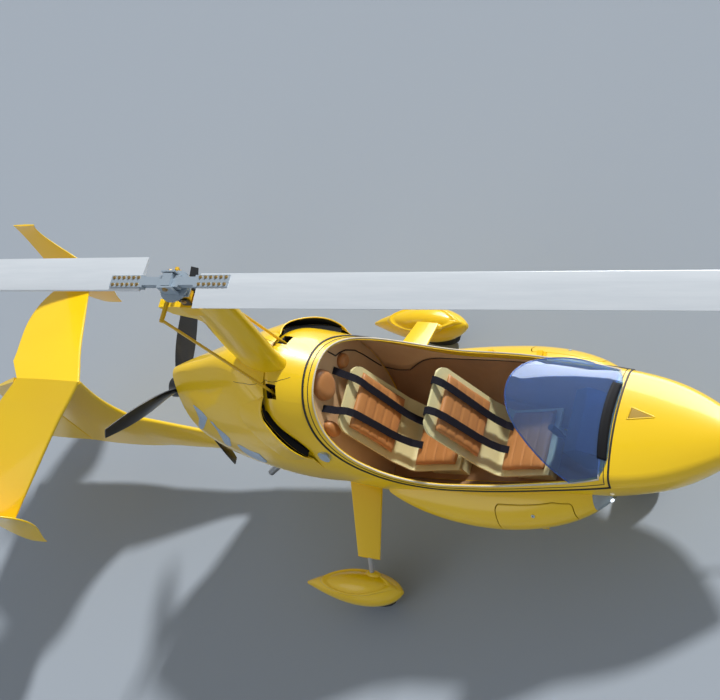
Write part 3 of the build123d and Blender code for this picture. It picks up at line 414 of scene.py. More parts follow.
edge = []
for k in range(EDGE_STEPS + 1):
    z = EDGE_LOW_Z + (EDGE_HIGH_Z - EDGE_LOW_Z) * math.sin(math.pi / 2 * k / EDGE_STEPS)
    lean = (EDGE_TOP[1] - z) * (EDGE_FOOT[0] - EDGE_TOP[0]) / (EDGE_TOP[1] - EDGE_FOOT[1])
    found = side_skin("windscreen", EDGE_TOP[0] + lean + EDGE_INSET, z)
    if found and found.y < -EDGE_LEAST_Y:
        edge.append(found)
edge += [Vector((p.x, -p.y, p.z)) for p in reversed(edge)]
thread("windscreen_edge", edge, EDGE_RADIUS, acrylic, "canopy")


# Cockpit trim: leather glued over thin foam, brown on the floor, tan on the rear wall and cream on
# the seat shells. The leather's pores are about 1 mm wide, drawn at 3 mm so that they show.
def leather(name, light, dark):
    """Dyed leather with a soft sheen: a patchy tone over pores."""
    return patterned(name, light, dark, ("Noise", {"Scale": 9.0, "Detail": 4.0}), 0.35, 0.0006,
                     ("Voronoi", {"Scale": 330.0}), Roughness=0.48, IOR=1.46, Sheen_Weight=0.08)


tan_leather = leather("tan_leather", "#E0BE90", "#CFA97C")
brown_leather = leather("brown_leather", "#AD8660", "#966F4C")
cream_leather = leather("cream_leather", "#E5DCA8", "#D6CB92")
dress(tan_leather, "rear_wall")
dress(brown_leather, "cockpit_floor")
dress(cream_leather, "front_seat", "rear_seat")

# Side liners: foam-backed leather glued into the tub, brown below and tan above a black piping
# cord. The cord runs on over the rear wall.
SIDES = (("left", 1.0), ("right", -1.0))
LINER_REAR_X, LINER_FRONT_X, LINER_STEPS = 0.168, 1.80, 66
LINER_FOOT_Z, LINER_TOP_GAP, LINER_THICKNESS = 0.345, 0.012, 0.0015
LOWER_STEPS, UPPER_STEPS = 18, 8
LINER_LIFT, CORD_LIFT, CORD_RADIUS = 0.0025, 0.002, 0.0035
PIPING = [(0.165, 0.73), (0.24, 0.69), (0.315, 0.677), (0.38, 0.719), (0.442, 0.755),
          (0.501, 0.773), (0.562, 0.779), (0.72, 0.772), (1.1, 0.768), (1.5, 0.764), (1.8, 0.76)]
WALL_X = 0.163
WALL_PIPING = ((0.193, 1.317), (0.2, 1.273), (0.204, 1.235), (0.239, 1.205), (0.278, 1.155),
               (0.318, 1.064), (0.334, 0.968), (0.346, 0.851), (0.356, 0.76))
rim_line = [(x, z) for x, z, nx, nz in rim_side(0.0)]


def height_at(line, x):
    """The height at x of a line of X and Z points that runs forwards, level beyond its ends."""
    for (x0, z0), (x1, z1) in zip(line, line[1:]):
        if x0 < x <= x1:
            return z0 + (z1 - z0) * (x - x0) / (x1 - x0)
    return line[-1][1] if x > line[-1][0] else line[0][1]


for side, sign in SIDES:
    lower, upper = [], []
    for i in range(LINER_STEPS + 1):
        x = LINER_REAR_X + (LINER_FRONT_X - LINER_REAR_X) * i / LINER_STEPS
        middle, top = height_at(PIPING, x), height_at(rim_line, x) - LINER_TOP_GAP
        for rows, low_z, high_z, count in ((lower, LINER_FOOT_Z, middle, LOWER_STEPS),
                                           (upper, middle, top, UPPER_STEPS)):
            row = [touch("tub_shell", (x, 0.0, low_z + (high_z - low_z) * k / count), (0, sign, 0))
                   for k in range(count + 1)]
            if all(row):
                rows.append([p - Vector((0, sign * LINER_LIFT, 0)) for p in row])
    cord = [row[-1] - Vector((0, sign * CORD_LIFT, 0)) for row in lower]
    wall_cord = [(WALL_X, sign * y, z) for y, z in WALL_PIPING]
    strip(f"lower_liner_{side}", lower, brown_leather, "airframe", LINER_THICKNESS)
    strip(f"upper_liner_{side}", upper, tan_leather, "airframe", LINER_THICKNESS)
    thread(f"liner_cord_{side}", cord, CORD_RADIUS, seal_rubber, "airframe")
    thread(f"wall_cord_{side}", wall_cord, CORD_RADIUS, seal_rubber, "airframe")

# Seat cushions and back pads: camel leather sewn over foam, crowned, drawn in a little between
# their corners, with stitched channels across. Each is held to its seat shell with touch tape.
CUSHION_ROWS, CUSHION_COLUMNS = 44, 30
CUSHION_LIFT, CUSHION_WAIST = 0.0073, 0.02
CROWN_EDGE, CROWN_POWER, UNDERSIDE = 7, 0.34, 0.92
CHANNEL_WIDTH, CHANNEL_DEPTH = 0.035, 0.22
pad_leather = leather("camel_pad_leather", "#C98A4E", "#B2753E")


def cushion(name, node, low, high, half_width, thick, channels):
    """A cushion along a seat line from low to high in X and Z, padded up or forwards."""
    along = Vector((high[0] - low[0], 0, high[1] - low[1]))
    length = along.length
    along.normalize()
    up = Vector((-along.z, 0, along.x))
    if up.x < -0.5 or up.z < -0.1:
        up = -up
    seams = [2.0 * k / (channels + 1) - 1.0 for k in range(1, channels + 1)]
    points = []
    for sign in (1.0, -1.0):
        for r in range(CUSHION_ROWS + 1):
            u = 2.0 * r / CUSHION_ROWS - 1.0
            groove = max(math.exp(-((u - seam) / CHANNEL_WIDTH) ** 2) for seam in seams)
            relief = 1.0 - CHANNEL_DEPTH * groove if sign > 0 else UNDERSIDE
            for c in range(CUSHION_COLUMNS + 1):
                v = 2.0 * c / CUSHION_COLUMNS - 1.0
                crown = ((1 - abs(u) ** CROWN_EDGE) * (1 - abs(v) ** CROWN_EDGE)) ** CROWN_POWER
                waist = 1.0 - CUSHION_WAIST * (1 - abs(u)) - CUSHION_WAIST * (1 - abs(v))
                rise = thick / 2 * crown * relief
                points.append(Vector((low[0], 0, low[1])) + along * (length * (u + 1) / 2)
                              + Vector((0, half_width * v * waist, 0))
                              + up * (CUSHION_LIFT + thick / 2 + sign * rise))
    faces = []
    for quad in grid_faces(CUSHION_ROWS + 1, CUSHION_COLUMNS + 1):
        faces += [quad, tuple(len(points) // 2 + i for i in reversed(quad))]
    data = smooth_mesh(name, points, faces)
    mesh = bmesh.new()
    mesh.from_mesh(data)
    bmesh.ops.remove_doubles(mesh, verts=mesh.verts, dist=0.0002)
    bmesh.ops.recalc_face_normals(mesh, faces=mesh.faces)
    mesh.to_mesh(data)
    mesh.free()
    piece = fit(name, data, pad_leather, "airframe")
    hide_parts(node)


cushion("front_seat_cushion", "front_cushion", (1.005, 0.498), (1.3, 0.556), 0.18, 0.050, 3)
cushion("front_seat_back", "front_back_pad", (0.8953, 0.695), (0.8253, 1.09), 0.17, 0.040, 4)
cushion("rear_seat_cushion", "rear_cushion", (0.432, 0.507), (0.725, 0.5575), 0.18, 0.050, 3)
cushion("rear_seat_back", "rear_back_pad", (0.3199, 0.695), (0.2489, 1.08), 0.17, 0.040, 4)

# Headrest and shoulder pads: oval pads of the same camel leather over foam, crowned towards the
# front and glued to the rear wall. The two shoulder pads differ in size and height.
PAD_X, PAD_RINGS, PAD_AROUND = 0.1602, 14, 48


def oval_pad(name, node, centre, half, thick):
    """An oval pad on the rear wall, domed forwards: its centre and half sizes in Y and Z."""
    points = [(PAD_X + thick, *centre)]
    for r in range(1, PAD_RINGS + 1):
        share = r / PAD_RINGS
        swell = thick * (1 - share ** 4) ** 0.5
        for k in range(PAD_AROUND):
            angle = 2 * math.pi * k / PAD_AROUND
            points.append((PAD_X + swell, centre[0] + half[0] * share * math.cos(angle),
                           centre[1] + half[1] * share * math.sin(angle)))
    faces = [(0, 1 + k, 1 + (k + 1) % PAD_AROUND) for k in range(PAD_AROUND)]
    for r in range(PAD_RINGS - 1):
        ring = 1 + r * PAD_AROUND
        for k in range(PAD_AROUND):
            a, b = ring + k, ring + (k + 1) % PAD_AROUND
            faces.append((a, a + PAD_AROUND, b + PAD_AROUND, b))
    last = 1 + (PAD_RINGS - 1) * PAD_AROUND
    faces.append(tuple(last + k for k in reversed(range(PAD_AROUND))))
    data = smooth_mesh(name, points, faces)
    piece = fit(name, data, pad_leather, "airframe")
    if node:
        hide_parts(node)


oval_pad("rear_headrest", "headrest", (0.0, 1.28), (0.087, 0.111), 0.043)
oval_pad("shoulder_pad_right", None, (-0.192, 1.095), (0.042, 0.075), 0.045)
oval_pad("shoulder_pad_left", None, (0.205, 1.165), (0.047, 0.045), 0.040)

# Shoulder belts: dark navy polyester webbing 45 mm wide, from the rear wall over the seat back.
# It is stitched flat, and lies over the cushions without a fold.
BELT_HALF_WIDTH, BELT_THICKNESS = 0.0225, 0.002
REAR_TOP_Y, FRONT_TOP_Y, BELT_FOOT_Y = 0.12, 0.10, 0.07
REAR_BELT = [(0.162, 1.222), (0.19, 1.205), (0.222, 1.178), (0.250, 1.168), (0.280, 1.15),
             (0.302, 1.11), (0.313, 1.05), (0.338, 0.92), (0.362, 0.79), (0.382, 0.70),
             (0.42, 0.625), (0.47, 0.583)]
FRONT_BELT = [(0.806, 1.10), (0.800, 1.15), (0.806, 1.182), (0.832, 1.19), (0.862, 1.155),
              (0.888, 1.07), (0.913, 0.93), (0.943, 0.76), (0.968, 0.67), (1.0, 0.605),
              (1.04, 0.575)]
# Woven polyester: dull, nearly black, with ribs 1.2 mm apart, drawn at 4 mm so that they show.
webbing = patterned("navy_webbing", "#0B0A14", "#15131F",
                    ("Wave", {"Scale": 80.0, "bands_direction": "DIAGONAL"}), 0.3,
                    Roughness=0.85, Specular_IOR_Level=0.2)


def belt(name, y_top, y_low, line):
    """A flat belt along a line of X and Z points, its middle moving from y_top to y_low."""
    rows = []
    for i, (x, z) in enumerate(line):
        y = y_top + (y_low - y_top) * i / (len(line) - 1)
        rows.append([(x, y - BELT_HALF_WIDTH, z), (x, y, z), (x, y + BELT_HALF_WIDTH, z)])
    piece = strip(name, rows, webbing, "airframe", BELT_THICKNESS)
    piece.data.polygons.foreach_set("use_smooth", [False] * len(piece.data.polygons))


for side, sign in SIDES:
    belt(f"rear_belt_{side}", sign * REAR_TOP_Y, sign * BELT_FOOT_Y, REAR_BELT)
    belt(f"front_belt_{side}", sign * FRONT_TOP_Y, sign * BELT_FOOT_Y, FRONT_BELT)

# Instrument panel and sticks: moulded black ABS with a satin texture, bolted to the tub and to
# the control shafts. Its grain is drawn at 3 mm.
black_abs = grained("black_abs", "#1B1C1F", 0.5, 330.0)
dress(black_abs, "instrument_panel", "front_stick", "rear_stick")

# Dials of the panel: round instruments with a dark glass face in a grey enamelled ring, let into
# the panel from behind. They carry no lettering.
DIALS = ((-0.12, 0.82, 0.036), (-0.04, 0.82, 0.036), (0.04, 0.82, 0.036), (0.12, 0.82, 0.036),
         (-0.08, 0.73, 0.028), (0.08, 0.73, 0.028))
PANEL_X, PANEL_FOOT_Z, PANEL_LEAN, PANEL_RISE = 1.575, 0.64, 0.03, 0.25
PANEL_FACING = Vector((-0.993, 0, -0.119))
RING_WIDTH, DIAL_DEPTH, GLASS_PROUD, GLASS_DROP = 0.005, 0.004, 0.002, 0.0003
# Dark glass, smooth and glossy, in rings of satin enamel.
dial_face = grained("dial_face", "#0B0D10", 0.15, 90.0)
dial_ring = grained("dial_ring", "#6E7276", 0.3, 200.0)


def turned_to(direction):
    """The turn that stands something made along Z on a face that looks this way."""
    return Vector((0, 0, 1)).rotation_difference(direction.normalized()).to_matrix().to_4x4()


def disc(name, centre, facing, radius, depth, material, body, bevel=0.0):
    """A turned disc with its back at centre, standing out the way it faces, its edge bevelled."""
    facing = Vector(facing)
    middle = Vector(centre) + facing.normalized() * depth / 2
    mesh = bmesh.new()
    bmesh.ops.create_cone(mesh, cap_ends=True, segments=32, radius1=radius, radius2=radius,
                          depth=depth)
    bmesh.ops.transform(mesh, matrix=Matrix.Translation(middle) @ turned_to(facing),
                        verts=mesh.verts)
    data = bpy.data.meshes.new(name)
    mesh.to_mesh(data)
    mesh.free()
    piece = fit(name, data, material, body)
    if bevel:
        soft = piece.modifiers.new("edge", "BEVEL")
        soft.width = bevel
        soft.segments = 3
        soft.limit_method = "ANGLE"
        data.polygons.foreach_set("use_smooth", [len(p.vertices) < 5 for p in data.polygons])


for k, (y, z, radius) in enumerate(DIALS):
    x = PANEL_X - PANEL_LEAN * (z - PANEL_FOOT_Z) / PANEL_RISE
    disc(f"dial_ring_{k}", (x, y, z), PANEL_FACING, radius + RING_WIDTH, DIAL_DEPTH,
         dial_ring, "airframe", bevel=0.0015)
    disc(f"dial_face_{k}", (x - GLASS_PROUD, y, z - GLASS_DROP), PANEL_FACING, radius,
         DIAL_DEPTH, dial_face, "airframe")

# Engine bay: a sand-cast aluminium block with a grey paint, welded steel tubes in black enamel,
# and a bent tail pipe of polished stainless steel.
# The casting's sand grain is drawn at 4 mm under dull paint. The tubes' enamel is glossier.
cast_block = grained("painted_casting", "#4A4C50", 0.55, 250.0)
black_tube = grained("black_enamel_tube", "#141518", 0.35, 60.0)
# Stainless steel that the exhaust's heat has tinted faintly straw in stains 45 mm wide.
hot_steel = patterned("heat_tinted_steel", "#C4CAD2", "#A79C8C",
                      ("Noise", {"Scale": 22.0, "Detail": 5.0}), Metallic=1.0, Roughness=0.3)
dress(cast_block, "engine")
dress(black_tube, "engine_mount", "nose_gear_tube", "nose_fork")
dress(hot_steel, "exhaust_pipe")

# Intake lips: on each flank the cowl's front edge is flared out over the cooling-air slot, in the
# same glass fibre, with a thick rolled edge. Matt black sheets in the throat under it are painted
# shade.
LIP = [(0.134, 1.149), (0.066, 1.264), (0.008, 1.352), (-0.048, 1.440), (-0.050, 1.492),
       (-0.024, 1.550)]
LIP_RISE, LIP_REACH, LIP_FALL = 0.037, 0.19, 0.05
LIP_SET_BACK, LIP_SINK, LIP_CLEAR = 0.012, 0.0045, 0.001
LIP_STATIONS, LIP_STEPS, SHADE_STEPS = 40, 16, 10
LEAN_LOW, LEAN_GAIN = 22, 30
LIP_SKIN, LIP_EDGE_RADIUS = 0.003, 0.0042
SHADE_FROM, SHADE_TO = 0.07, 0.86
SHADE_GAP, THROAT_LIFT, THROAT_INSET = 0.0035, 0.0008, 0.003
WALL_DEPTHS = (0.001, 0.012, 0.024, 0.036, 0.048)
# Matt black sheets that stand for shade: painted shade in the intake throats and the push-rod
# holes.
painted_shade_black = grained("matt_black_painted_shade", "#0B0B0C", 0.9, 150.0)


def part_way(line, share):
    """The point at a share of a bent line's length."""
    runs = [math.dist(a, b) for a, b in zip(line, line[1:])]
    left = min(max(share, 0.0), 1.0) * sum(runs)
    for a, b, run in zip(line, line[1:], runs):
        if left <= run:
            return [p + (q - p) * left / run for p, q in zip(a, b)]
        left -= run
    return list(line[-1])


def flank(x, z, sign, nodes=("engine_cowl", "tub_shell"), least=0.02):
    """The outermost point of these nodes at x and z on one side, or None."""
    found = [side_skin(node, x, z, sign) for node in nodes]
    found = [p for p in found if p and p.y * sign > least]
    return max(found, key=lambda p: p.y * sign) if found else None


for side, sign in SIDES:
    shell, shade_lining, throat, wall = [], [], [], []
    for i in range(LIP_STATIONS + 1):
        share = i / LIP_STATIONS
        x, z = part_way(LIP, share)
        rise = LIP_RISE * math.sin(math.pi * share) ** 0.7
        lean = math.radians(LEAN_LOW + LEAN_GAIN * share)
        out = Vector((0, sign * math.cos(lean), math.sin(lean)))
        flare = Vector((LIP_SET_BACK + 0.4 * rise, 0, 0.4 * rise))
        outer, inner, low = [], [], []
        for k in range(LIP_STEPS + 1):
            back = k / LIP_STEPS
            base = flank(x - LIP_SET_BACK - LIP_REACH * back, z - LIP_FALL * back, sign)
            if not base:
                break
            stand = rise * (1 - back) ** 1.6
            sink = LIP_SINK * max(back ** 4, abs(2 * share - 1) ** 8)
            outer.append(base + out * (stand + LIP_CLEAR - sink) + flare * (1 - back) ** 3)
            if k < SHADE_STEPS:
                foot = base if k else flank(x - THROAT_INSET, z, sign)
                inner.append(outer[-1] - out * min(SHADE_GAP, stand))
                low.append(foot + out * THROAT_LIFT)
        if len(outer) > LIP_STEPS:
            shell.append(outer)
            if SHADE_FROM < share < SHADE_TO:
                shade_lining.append(inner)
                throat.append(low)
                wall.append([low[0] + Vector((0.004, -sign * depth, 0.001))
                             for depth in WALL_DEPTHS])
    strip(f"intake_lip_{side}", shell, gelcoat, "airframe", LIP_SKIN)
    # The black sheets under the lip, on the skin and across the slot are painted shade.
    strip(f"intake_shade_lining_{side}", shade_lining, painted_shade_black, "airframe")
    strip(f"intake_shade_throat_{side}", throat, painted_shade_black, "airframe")
    strip(f"intake_shade_wall_{side}", wall, painted_shade_black, "airframe")
    thread(f"intake_edge_{side}", [row[0] for row in shell], LIP_EDGE_RADIUS, gelcoat,
           "airframe")

# Push-rod wells: a short black sleeve in each square hole of the hull's top that a push rod goes
# down through is painted shade: it darkens the hole and hides the laminate's cut edge.
WELL_X, WELL_Y = (-0.0125, 0.0425), (0.1255, 0.1925)
WELL_STEPS, WELL_DEPTHS, WELL_WALL = 32, (0.0025, 0.02, 0.04, 0.06), 0.0008
WELL_CLEAR, WELL_NEAR, WELL_LEAST_Z = 0.004, 0.0001, 1.3
WELL_LINE = [(WELL_X[0], WELL_Y[0]), (WELL_X[1], WELL_Y[0]), (WELL_X[1], WELL_Y[1]),
             (WELL_X[0], WELL_Y[1]), (WELL_X[0], WELL_Y[0])]


def outside(value, low, high):
    """A step out of a hole for a point on its low or high edge."""
    return WELL_CLEAR * ((value > high - WELL_NEAR) - (value < low + WELL_NEAR))


for side, sign in SIDES:
    rows = []
    for i in range(WELL_STEPS + 1):
        x, y = part_way(WELL_LINE, i / WELL_STEPS)
        found = top_skin("tub_shell", x + outside(x, *WELL_X), sign * (y + outside(y, *WELL_Y)))
        if found and found.z > WELL_LEAST_Z:
            rows.append([(x, sign * y, found.z - depth) for depth in WELL_DEPTHS])
    strip(f"push_rod_shade_well_{side}", rows, painted_shade_black, "airframe", WELL_WALL)

# Side panels: three drop-shaped panels of fine steel gauze let into each flank of the cowl. The
# gauze is pale and silvery. It is 1 mm, drawn at 5 mm so that it shows.
PANELS = [
    ([(-0.676, 1.319), (-0.667, 1.318), (-0.617, 1.303), (-0.594, 1.270), (-0.657, 1.196),
      (-0.729, 1.112), (-0.790, 1.060)],
     [(-0.680, 1.318), (-0.690, 1.315), (-0.683, 1.273), (-0.694, 1.221), (-0.772, 1.112),
      (-0.792, 1.066)]),
    ([(-0.570, 1.256), (-0.555, 1.257), (-0.542, 1.221), (-0.498, 1.194), (-0.478, 1.160),
      (-0.546, 1.040), (-0.594, 0.997)],
     [(-0.574, 1.256), (-0.582, 1.254), (-0.561, 1.191), (-0.578, 1.110), (-0.615, 1.020),
      (-0.598, 0.998)]),
    ([(-0.452, 1.109), (-0.421, 1.127), (-0.361, 1.098), (-0.282, 1.097), (-0.306, 0.982),
      (-0.340, 0.931), (-0.402, 0.878)],
     [(-0.455, 1.106), (-0.476, 1.016), (-0.465, 0.921), (-0.410, 0.878)])]
PANEL_ROWS, PANEL_COLUMNS, PANEL_LIFT = 30, 8, 0.0014
gauze = patterned("steel_gauze", "#C3D5EA", "#94ACC6", ("Voronoi", {"Scale": 200.0}), 0.3,
                  Metallic=0.2, Roughness=0.3)


def between(a, b, share):
    """The point at a share of the way from a to b."""
    return [p + (q - p) * share for p, q in zip(a, b)]


for side, sign in SIDES:
    for number, (ahead, astern) in enumerate(PANELS):
        rows = []
        for i in range(PANEL_ROWS + 1):
            ends = part_way(ahead, i / PANEL_ROWS), part_way(astern, i / PANEL_ROWS)
            row = [flank(*between(*ends, k / PANEL_COLUMNS), sign)
                   for k in range(PANEL_COLUMNS + 1)]
            if all(row):
                rows.append([p + Vector((0, sign * PANEL_LIFT, 0)) for p in row])
        strip(f"side_panel_{number}_{side}", rows, gauze, "airframe")

# Moulding seam: where the mast's foot was bonded to the hull, the joint is pressed full of a
# dark rubbery filler and wiped off to a fine line.
SEAM = [(-0.218, 1.595), (-0.135, 1.599), (-0.053, 1.591), (0.015, 1.573), (0.066, 1.554),
        (0.113, 1.532)]
SEAM_STEPS, SEAM_RADIUS = 30, 0.0013
for side, sign in SIDES:
    seam = [flank(*part_way(SEAM, i / SEAM_STEPS), sign, ("mast", "tub_shell", "engine_cowl"), 0.01)
            for i in range(SEAM_STEPS + 1)]
    thread(f"hull_seam_{side}", [p for p in seam if p], SEAM_RADIUS, seal_rubber,
           "airframe")

# Nose inlet: a small three-cornered air inlet on the left of the nose top, a yellow ramp painted
# darker as painted shade, in a raised lip of the hull's gelcoat, moulded in one with the nose.
INLET = [(1.904, 0.088), (2.050, 0.040), (1.895, 0.016)]
RAMP_ROWS, RAMP_COLUMNS, RAMP_LIFT = 12, 6, 0.0012
INLET_STEPS, INLET_LIP_LIFT, INLET_LIP_RADIUS = 36, 0.001, 0.0038
ramp = []
for i in range(RAMP_ROWS + 1):
    ends = part_way(INLET[:2], i / RAMP_ROWS), part_way(INLET[:0:-1], i / RAMP_ROWS)
    row = [top_skin("nose_shell", *between(*ends, k / RAMP_COLUMNS))
           for k in range(RAMP_COLUMNS + 1)]
    if all(row):
        ramp.append([p + Vector((0, 0, RAMP_LIFT)) for p in row])
lip = [top_skin("nose_shell", *part_way(INLET + INLET[:1], i / INLET_STEPS))
       for i in range(INLET_STEPS)]
# Darker yellow ramp: a sheet on the skin that paints the shade of a recess, which is not cut.
inlet_ramp = grained("painted_shade_gelcoat_ramp", "#A8851C", 0.5, 120.0)
strip("nose_inlet_throat", ramp, inlet_ramp, "airframe")
thread("nose_inlet_lip", [p + Vector((0, 0, INLET_LIP_LIFT)) for p in lip if p],
       INLET_LIP_RADIUS, gelcoat, "airframe", closed=True)

# Wheel fairings: glass fibre shells with a shallow oval dish in a raised lip on each one's crown,
# a blister where the axle strut goes in, and small caps over the ends of the laminate.
DISH_X, DISH_HALF_X = 0.080, 0.232
DISH_TURN, DISH_HALF_TURN = math.radians(-4), math.radians(43)
DISH_AXIS_Y, DISH_AXIS_Z, DISH_STEPS, DISH_START = 0.87, 0.25, 72, 0.3
DISH_PROFILE = ((0.82, -0.0012), (0.88, 0.0006), (0.92, 0.0025), (0.955, 0.0095),
                (0.985, 0.0115), (1.02, 0.0105), (1.06, 0.007), (1.10, 0.003), (1.13, -0.0014))
BLISTER_SEAT, BLISTER_FACING = (0.188, 0.806, 0.338), (0.1, -0.62, 0.78)
BLISTER_RISE, BLISTER_SINK, BLISTER_LENGTH, BLISTER_WIDTH = 0.026, 0.006, 0.052, 0.032
CAP_REACH, CAP_EDGE, CAP_OVERLAP = 0.004, 0.001, 0.0006
LAMINATE = 0.0008


def dome(name, foot, rise, ahead, across, rings, around):
    """A gelcoat dome on foot: rise is its height, ahead and across are its half axes."""
    rows = []
    for r in range(rings + 1):
        tilt = math.pi / 2 * r / rings
        rows.append([foot + rise * math.cos(tilt) + ahead * (math.sin(tilt) * math.cos(angle))
                     + across * (math.sin(tilt) * math.sin(angle))
                     for angle in (2 * math.pi * k / around for k in range(around + 1))])
    strip(name, rows, gelcoat, "airframe", LAMINATE)


def tip_cap(name, node, end):
    """A small dome over one end of a hollow fairing: end is 1 for its front and -1 for its rear."""
    corners = [v.co for v in parts[node].data.vertices]
    far = max(v.x * end for v in corners)
    rim = [v for v in corners if v.x * end > far - CAP_EDGE]
    middle = sum(rim, Vector()) / len(rim)
    half_y = max(abs(v.y - middle.y) for v in rim) + CAP_OVERLAP
    half_z = max(abs(v.z - middle.z) for v in rim) + CAP_OVERLAP
    dome(name, middle, Vector((end * CAP_REACH, 0, 0)), Vector((0, half_y, 0)),
         Vector((0, 0, half_z)), 6, 24)


for side, sign in SIDES:
    rows = []
    for i in range(DISH_STEPS + 1):
        angle = 2 * math.pi * i / DISH_STEPS
        row = []
        for share, rise in DISH_PROFILE:
            turn = DISH_TURN + DISH_HALF_TURN * share * math.sin(angle)
            out = Vector((0, sign * math.sin(turn), math.cos(turn)))
            axis = Vector((DISH_X + DISH_HALF_X * share * math.cos(angle),
                           sign * DISH_AXIS_Y, DISH_AXIS_Z))
            found = touch(f"wheel_pant_{side}", axis + out * DISH_START, -out)
            if found:
                row.append(found + out * rise)
        if len(row) == len(DISH_PROFILE):
            rows.append(row)
    strip(f"fairing_dish_{side}", rows, gelcoat, "airframe", LAMINATE)
    mirror = Vector((1, sign, 1))
    out = (Vector(BLISTER_FACING) * mirror).normalized()
    across = out.cross(Vector((1, 0, 0))).normalized()
    ahead = across.cross(out).normalized()
    seat = Vector(BLISTER_SEAT) * mirror
    dome(f"fairing_blister_{side}", seat - out * BLISTER_SINK, out * BLISTER_RISE,
         ahead * BLISTER_LENGTH, across * BLISTER_WIDTH, 8, 32)
for side in ("left", "right"):
    tip_cap(f"fairing_cap_front_{side}", f"wheel_pant_{side}", 1)
    tip_cap(f"fairing_cap_rear_{side}", f"wheel_pant_{side}", -1)
tip_cap("nose_cap", "nose_shell", 1)

# Propeller: three blades of moulded carbon fibre in a clamped hub, under a satin black lacquer
# that shows the cross lay faintly. The lay is fine, drawn at 6 mm.
carbon, tree, shader, spot = new_material(
    "black_carbon", Roughness=0.33, Coat_Weight=0.4, Coat_Roughness=0.15)
lay = add(tree, "ShaderNodeTexChecker",
          {"Scale": 170.0, "Color1": linear("#131416"), "Color2": linear("#1D1E21")},
          {"Vector": spot})
tree.links.new(lay.outputs["Color"], shader.inputs["Base Color"])
dress(carbon, "propeller")

# Pods: gelcoat like the hull's. Each hatch has a round bright lock, and the front of each pod is
# the clear polycarbonate cover of a landing lamp, and a glowing disc on it is a painted glint.
LOCK_X, LOCK_Z, LOCK_FACING, LOCK_SINK = 1.358, 0.706, (0.9, 0.43), 0.002
LOCK_RADIUS, LOCK_DEPTH = 0.011, 0.006
KEY_PROUD, KEY_RISE, KEY_RADIUS, KEY_DEPTH = 0.0034, 0.0018, 0.004, 0.001
GLINT_PLACE, GLINT_FACING = (1.7695, 0.3505, 0.624), (0.7, 0.7, 0.1)
GLINT_RADIUS, GLINT_DEPTH = 0.012, 0.005
# Turned aluminium, polished: bright, its faint scuffs 7 mm apart.
bright_alloy = patterned("polished_aluminium", "#DCE8F0", "#C2D2DE",
                         ("Noise", {"Scale": 140.0}), Metallic=0.85, Roughness=0.3)
# Moulded polycarbonate: clear, with shallow flutes 10 mm wide that spread the beam.
lamp_cover, tree, shader, spot = new_material(
    "clear_polycarbonate", Base_Color=linear("#DFEDF2"), Roughness=0.05, IOR=1.585,
    Transmission_Weight=0.7)
flute = add(tree, "ShaderNodeTexWave", {"Scale": 30.0}, {"Vector": spot})
bump = add(tree, "ShaderNodeBump", {"Strength": 0.1, "Distance": 0.001},
           {"Height": flute.outputs["Fac"]})
tree.links.new(bump.outputs["Normal"], shader.inputs["Normal"])
# The painted glint: a glowing, nearly white disc just outside the cover.
glint_glass = grained("painted_glint_glass", "#F4F8FA", 0.1, 80.0,
                    Emission_Color=linear("#EAF4FF"), Emission_Strength=1.4)
for side, sign in SIDES:
    dress(lamp_cover, f"landing_lamp_{side}")
    x, y, z = GLINT_PLACE
    facing_x, facing_y, facing_z = GLINT_FACING
    # A glowing disc at the cover's edge: a painted highlight.
    disc(f"landing_lamp_glint_{side}", (x, sign * y, z), (facing_x, sign * facing_y, facing_z),
         GLINT_RADIUS, GLINT_DEPTH, glint_glass, "airframe", bevel=0.0015)
    where = side_skin(f"pod_hatch_{side}", LOCK_X, LOCK_Z, sign)
    facing = (0, sign * LOCK_FACING[0], LOCK_FACING[1])
    disc(f"hatch_lock_{side}", where - Vector((0, sign * LOCK_SINK, 0)), facing,
         LOCK_RADIUS, LOCK_DEPTH, bright_alloy, f"hatch_{side}", bevel=0.001)
    disc(f"hatch_key_{side}", where + Vector((0, sign * KEY_PROUD, KEY_RISE)), facing,
         KEY_RADIUS, KEY_DEPTH, black_abs, f"hatch_{side}")

# Wheels: rubber tyres with raised tread bands, dull and finely worn at 4 mm, on cast rims. The
# rims and the axle struts have a silver lacquer.
TREAD_AROUND, TREAD_DROP, TREAD_RISE, TREAD_CHAMFER = 72, -0.004, 0.0009, 0.001
CROWN_SHARE, CROWN_DROP, TYRE_HALF_WIDTH = 0.35, 0.05, 0.06
MAIN_AXLE, MAIN_RADIUS = (0.086, 0.87, 0.17), 0.1692
MAIN_RIB_WIDTH, MAIN_RIBS = 0.012, (-0.018, 0.0, 0.018)
NOSE_AXLE, NOSE_RADIUS = (1.66, 0.0, 0.128), 0.1272
NOSE_RIB_WIDTH, NOSE_RIBS = 0.010, (-0.014, 0.0, 0.014)
tyre_rubber = grained("tyre_rubber", "#1C1C1D", 0.8, 260.0)
rim_cast = grained("silver_lacquer_casting", "#A9ACAF", 0.35, 120.0)
dress(tyre_rubber, "main_tyre_left", "main_tyre_right", "nose_tyre")
dress(rim_cast, "main_rim_left", "main_rim_right", "nose_rim", "axle_strut_left",
      "axle_strut_right")


